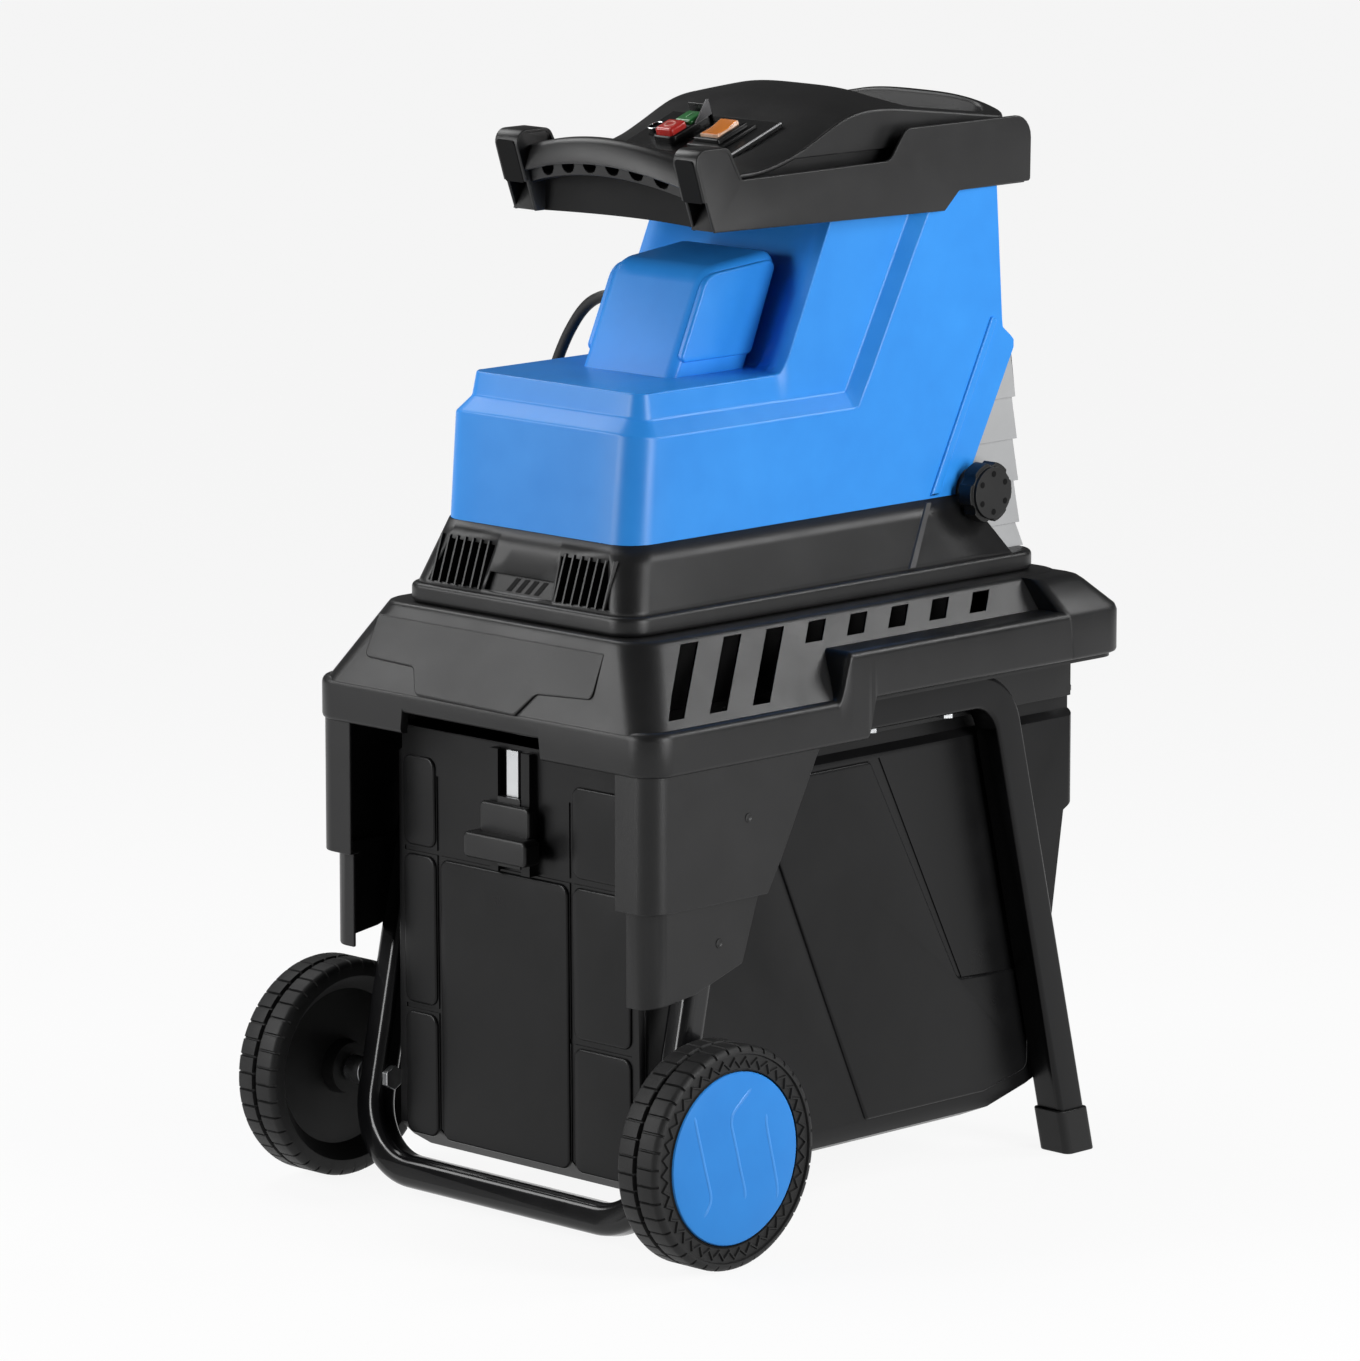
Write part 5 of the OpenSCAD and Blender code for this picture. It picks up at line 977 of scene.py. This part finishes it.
def makeControls():
    edge, bar, wall = [blockArrays(panel[name], *panel[name + "Form"]) for name in ("edge", "bar", "wall")]
    trimPiece("panel_edge", [onPanel(edge)], edgeGrey)
    bezel = frameArrays(panel["switch"], panel["buttons"], *panel["switchForm"])
    guard = slabArrays(outlineOf(panel, "guard", 3), *panel["guardForm"])
    formPiece("switch_frame", [onPanel(part) for part in (bezel, bar, wall)], "stand", panelBlack, ["switch_bezel"])
    trimPiece("switch_guard", [onPanel(guard)], guardGrey)
    for name, finish in (("stop", redMould), ("start", greenMould)):
        (*middle, top), (low, *form) = panel[name], panel["buttonForm"]
        button = onPanel(blockArrays(spans(*panel["button"]), low, top, *form), middle)
        formPiece(name + "_cap", [button], name + "_unit", finish, [name + "_button"])
    *middle, top = panel["stop"]
    ring = onPanel(ringArrays(*panel["ring"], top), middle)
    formPiece("stop_mark", [ring], "stop_unit", redMark)
    (*middle, top), (sunk, up, *form) = panel["start"], panel["lineForm"]
    line = onPanel(blockArrays(spans(*panel["line"]), top - sunk, top + up, *form), middle)
    formPiece("start_mark", [line], "start_unit", greenMark)
    *middle, top = panel["reset"]
    angle = fullTurn(48)
    r, out = np.array(panel["resetProfile"], float).T[..., None]
    turned = np.stack([r * np.cos(angle), r * np.sin(angle), out + 0 * angle], -1)
    button = onPanel(surface(turned, wrapCols=True), middle)
    formPiece("reset_cap", [button], "reset_unit", panelBlack, ["reset_button"])
    ring = onPanel(ringArrays(*panel["resetRing"], top - panel["ringSunk"]), middle)
    formPiece("reset_ring", [ring], "reset_unit", chrome)
    middle, well = panel["rocker"], spans(*panel["well"])
    radius, low, soft = panel["frameForm"]
    frames = [onPanel(frameArrays(spans(wide, tall), well, radius, low, high, soft), middle)
              for wide, tall, high in panel["frames"]]
    formPiece("rocker_frame", frames, "stand", panelBlack, ["rocker_bezel"])
    outline, half = np.array(panel["amber"], float), panel["amberHalf"]
    (foot, drop), (share, inset, soft) = panel["rimDrop"], panel["core"]
    rim = slabArrays(outline - np.where(outline[:, 1:] > foot, (0, drop), 0), -half, half, "x", panel["rimSoft"])
    core = slabArrays(outline * (share, 1), inset - half, half - inset, "x", soft)
    formPiece("rocker_core", [onPanel(core, middle)], "rocker_unit", amberMould, ["rocker"])
    formPiece("rocker_rim", [onPanel(rim, middle)], "rocker_unit", amberRim)


makeControls()
print("controls ready")

# Wheels: every cell of the tyre is a point of its profile at one of eight places in each tread pitch
tyre = {
    "place": (209, -220, 95), "pitches": 40, "phases": [0, 0.05, 0.12, 0.17, 0.5, 0.55, 0.62, 0.67],
    "groove": 2.4, "zig": 3.4,
    "profile": [(2, 8), (2, 22), (14, 24), (14, 68), (1.5, 79), (0, 81), (0, 89), (1.2, 92.4), (3.2, 94.3),
                (5, 95), (20.3, 95), (21.4, 91.4), (24.6, 91.4), (25.7, 95), (41, 95), (42.8, 94.3),
                (44.9, 92.4), (46, 89.8), (46, 88.2), (43.9, 87.4), (43.9, 82.9), (45.7, 81.7), (45.7, 80.3),
                (43.9, 79.1), (43.9, 75.4), (45.3, 74.4), (42, 73.6), (42, 8)],
    "rows": [(7, 10, 0.04, 0.13), (13, 16, 0.54, 0.63)], "zigRows": (20, 23)}
cap = {
    "profile": [(42.1, 0), (42.1, 72.8), (44.4, 73.1), (45.5, 72.2), (45.9, 70), (46.5, 40), (46.7, 0)],
    "lines": [[(-48.6, 46.4), (-45.3, 31.4), (-37.8, 3.3), (-28.7, -28.2), (-30.3, -34), (-38.6, -44.8)],
              [(20.5, 58.5), (-4.5, 39.4), (-6.2, 30.4), (-2, 17.3), (4.7, -8.6), (11.3, -30.4), (10.5, -38.4)],
              [(36.3, 35), (35.5, 24.9), (39.6, 7.6), (45.5, -15), (49.6, -32.2), (48.8, -44.4)]],
    "wide": 3.4, "high": 0.45, "sunk": 0.3, "fade": 6, "thin": 0.2, "round": 96, "steps": 40, "smooth": 3}


def tyreArrays():
    # radius falls in the grooves of the two staggered rows; the side ring's ridge swings in and out
    phase = np.array(tyre["phases"])
    turns = (np.arange(tyre["pitches"])[:, None] + phase).ravel() / tyre["pitches"]
    phase = np.tile(phase, tyre["pitches"])
    x, r = [np.repeat(column[:, None], len(turns), 1) for column in np.array(tyre["profile"], float).T]
    for first, last, start, end in tyre["rows"]:
        r[first:last + 1] -= tyre["groove"] * ((phase > start) & (phase < end))
    first, last = tyre["zigRows"]
    r[first:last + 1] += tyre["zig"] * (np.abs(2 * phase - 1) * 2 - 1)
    return surface(turnedRound(x, r, 2 * math.pi * turns, tyre["place"]), True, True)


def capArrays():
    # a shallow dome turned about the axle; its raised lines are half ellipses carried along bent paths
    x, r = np.array(cap["profile"], float).T[..., None]
    disc = surface(turnedRound(x, r, fullTurn(cap["round"]), tyre["place"]), wrapCols=True)
    domeX, domeR = np.array(cap["profile"][:-4:-1], float).T
    sunk, thin, parts = cap["sunk"], cap["thin"], []
    for path in [np.array(line, float) for line in cap["lines"]]:
        at = pathLengths(path)
        t = np.linspace(0, at[-1], cap["steps"])
        y, z = np.interp(t, at, path[:, 0]), np.interp(t, at, path[:, 1])
        for _ in range(cap["smooth"]):
            y[1:-1], z[1:-1] = (y[:-2] + y[1:-1] + y[2:]) / 3, (z[:-2] + z[1:-1] + z[2:]) / 3
        dy, dz = np.gradient(y), np.gradient(z)
        size = np.hypot(dy, dz)
        fade = np.minimum(1, np.minimum(t, at[-1] - t) / cap["fade"])
        s = np.linspace(0, math.pi, 7)[:, None]
        wide = cap["wide"] / 2 * np.cos(s) * (thin + (1 - thin) * fade)
        lift = np.interp(np.hypot(y, z), domeR, domeX) - sunk + (cap["high"] + sunk) * np.sin(s) * fade
        parts.append(surface(np.stack([lift, y - wide * dz / size, z + wide * dy / size], -1) + tyre["place"]))
    return disc, joinArrays(parts)


def makeWheels():
    disc, lines = capArrays()
    # the caps' raised lines take the lighter blue as a painted highlight
    forms = [("_tyre", tyreArrays(), tyreRubber, "_wheel", None, 28), ("_cap", disc, blueMould, "_hub_cap", None, 40),
             ("_lines", lines, paintedHighlightBlue, None, "blue_plastic", 40)]
    for side in ("right", "left"):
        for name, part, finish, node, slot, sharp in forms:
            part = part if side == "right" else mirrored(part)
            stands = [side + node] if node else ()
            formPiece(side + name, [part], side + "_wheel_unit", finish, stands, sharp)


makeWheels()
print("wheels ready")

# Hidden works keep their solids
works = {
    castMetal: ["motor_can", "end_bell", "gear_case", "cutter_housing", "pressure_plate"], copper: ["stator"],
    softBlack: ["frame_plugs", "safety_switch", "cooling_fan", "capacitor"],
    zinc: ["leg_nuts", "motor_bearings", "rotor", "motor_shaft", "motor_pinion", "intermediate_shaft",
           "intermediate_gear", "intermediate_pinion", "roller_gear", "roller_shaft", "cutting_roller",
           "roller_bearings", "adjusting_screw"]}
for finish, members in works.items():
    for node in members:
        nodes[node].data.materials.clear()
        nodes[node].data.materials.append(finish)
print("works ready")

# Stage: paper that keeps the shadow, with a little glow of its own for the eye
stage = {"floor": 80, "paper": 0.08, "rough": 0.9, "glow": 0.905, "world": 0.08, "aim": (0, 0, 0.5)}
softboxes = {
    "right": ((1.8, 0.2, 0.85), (0.6, 1.2), 27), "left": ((-0.8, -2.1, 0.85), (0.6, 1.2), 22),
    "top": ((-1.3, -0.1, 2.0), (0.9, 0.9), 14), "front": ((-1.5, -1.7, 1.45), (1.4, 0.7), 20),
    "rear": ((1.2, 1.5, 1.65), (0.9, 0.5), 15)}


def paperFinish():
    # camera, mirror and glass rays see the glow on top of the lit paper
    paper = bpy.data.materials.new("paper")
    paper.use_nodes = True
    tree, links = paper.node_tree.nodes, paper.node_tree.links
    shader = tree["Principled BSDF"]
    setInputs(shader, {"Base Color": (*[stage["paper"]] * 3, 1), "Roughness": stage["rough"],
                       "Specular IOR Level": 0.0, "Emission Color": (1, 1, 1, 1)})
    ray = tree.new("ShaderNodeLightPath")
    total = ray.outputs["Is Camera Ray"]
    for name in ("Is Glossy Ray", "Is Transmission Ray"):
        both = tree.new("ShaderNodeMath")
        both.operation = "MAXIMUM"
        links.new(total, both.inputs[0])
        links.new(ray.outputs[name], both.inputs[1])
        total = both.outputs[0]
    glow = tree.new("ShaderNodeMath")
    glow.operation = "MULTIPLY"
    glow.inputs[1].default_value = stage["glow"]
    links.new(total, glow.inputs[0])
    links.new(glow.outputs[0], shader.inputs["Emission Strength"])
    return paper


def makeStage():
    half = stage["floor"] / 2
    mesh = bpy.data.meshes.new("floor")
    mesh.from_pydata([(-half, -half, 0), (half, -half, 0), (half, half, 0), (-half, half, 0)], [], [(0, 1, 2, 3)])
    floor = bpy.data.objects.new("floor", mesh)
    bpy.context.scene.collection.objects.link(floor)
    mesh.materials.append(paperFinish())
    for name, (place, size, power) in softboxes.items():
        data = bpy.data.lights.new(name, "AREA")
        data.shape = "RECTANGLE"
        data.size, data.size_y = size
        data.energy = power
        lamp = bpy.data.objects.new(name, data)
        lamp.location = place
        lamp.rotation_euler = (Vector(place) - Vector(stage["aim"])).to_track_quat("Z", "Y").to_euler()
        lamp.visible_camera = False
        bpy.context.scene.collection.objects.link(lamp)
    world = bpy.data.worlds.new("studio")
    bpy.context.scene.world = world
    world.use_nodes = True
    sky, links = world.node_tree.nodes, world.node_tree.links
    sky["Background"].inputs["Color"].default_value = (1, 1, 1, 1)
    ray, level = sky.new("ShaderNodeLightPath"), sky.new("ShaderNodeMapRange")
    setInputs(level, {"To Min": stage["world"], "To Max": stage["glow"]})
    links.new(ray.outputs["Is Camera Ray"], level.inputs["Value"])  # the eye sees paper beyond the floor's edge
    links.new(level.outputs["Result"], sky["Background"].inputs["Strength"])
    bpy.context.scene.view_settings.view_transform = "Standard"


makeStage()
print("stage ready")
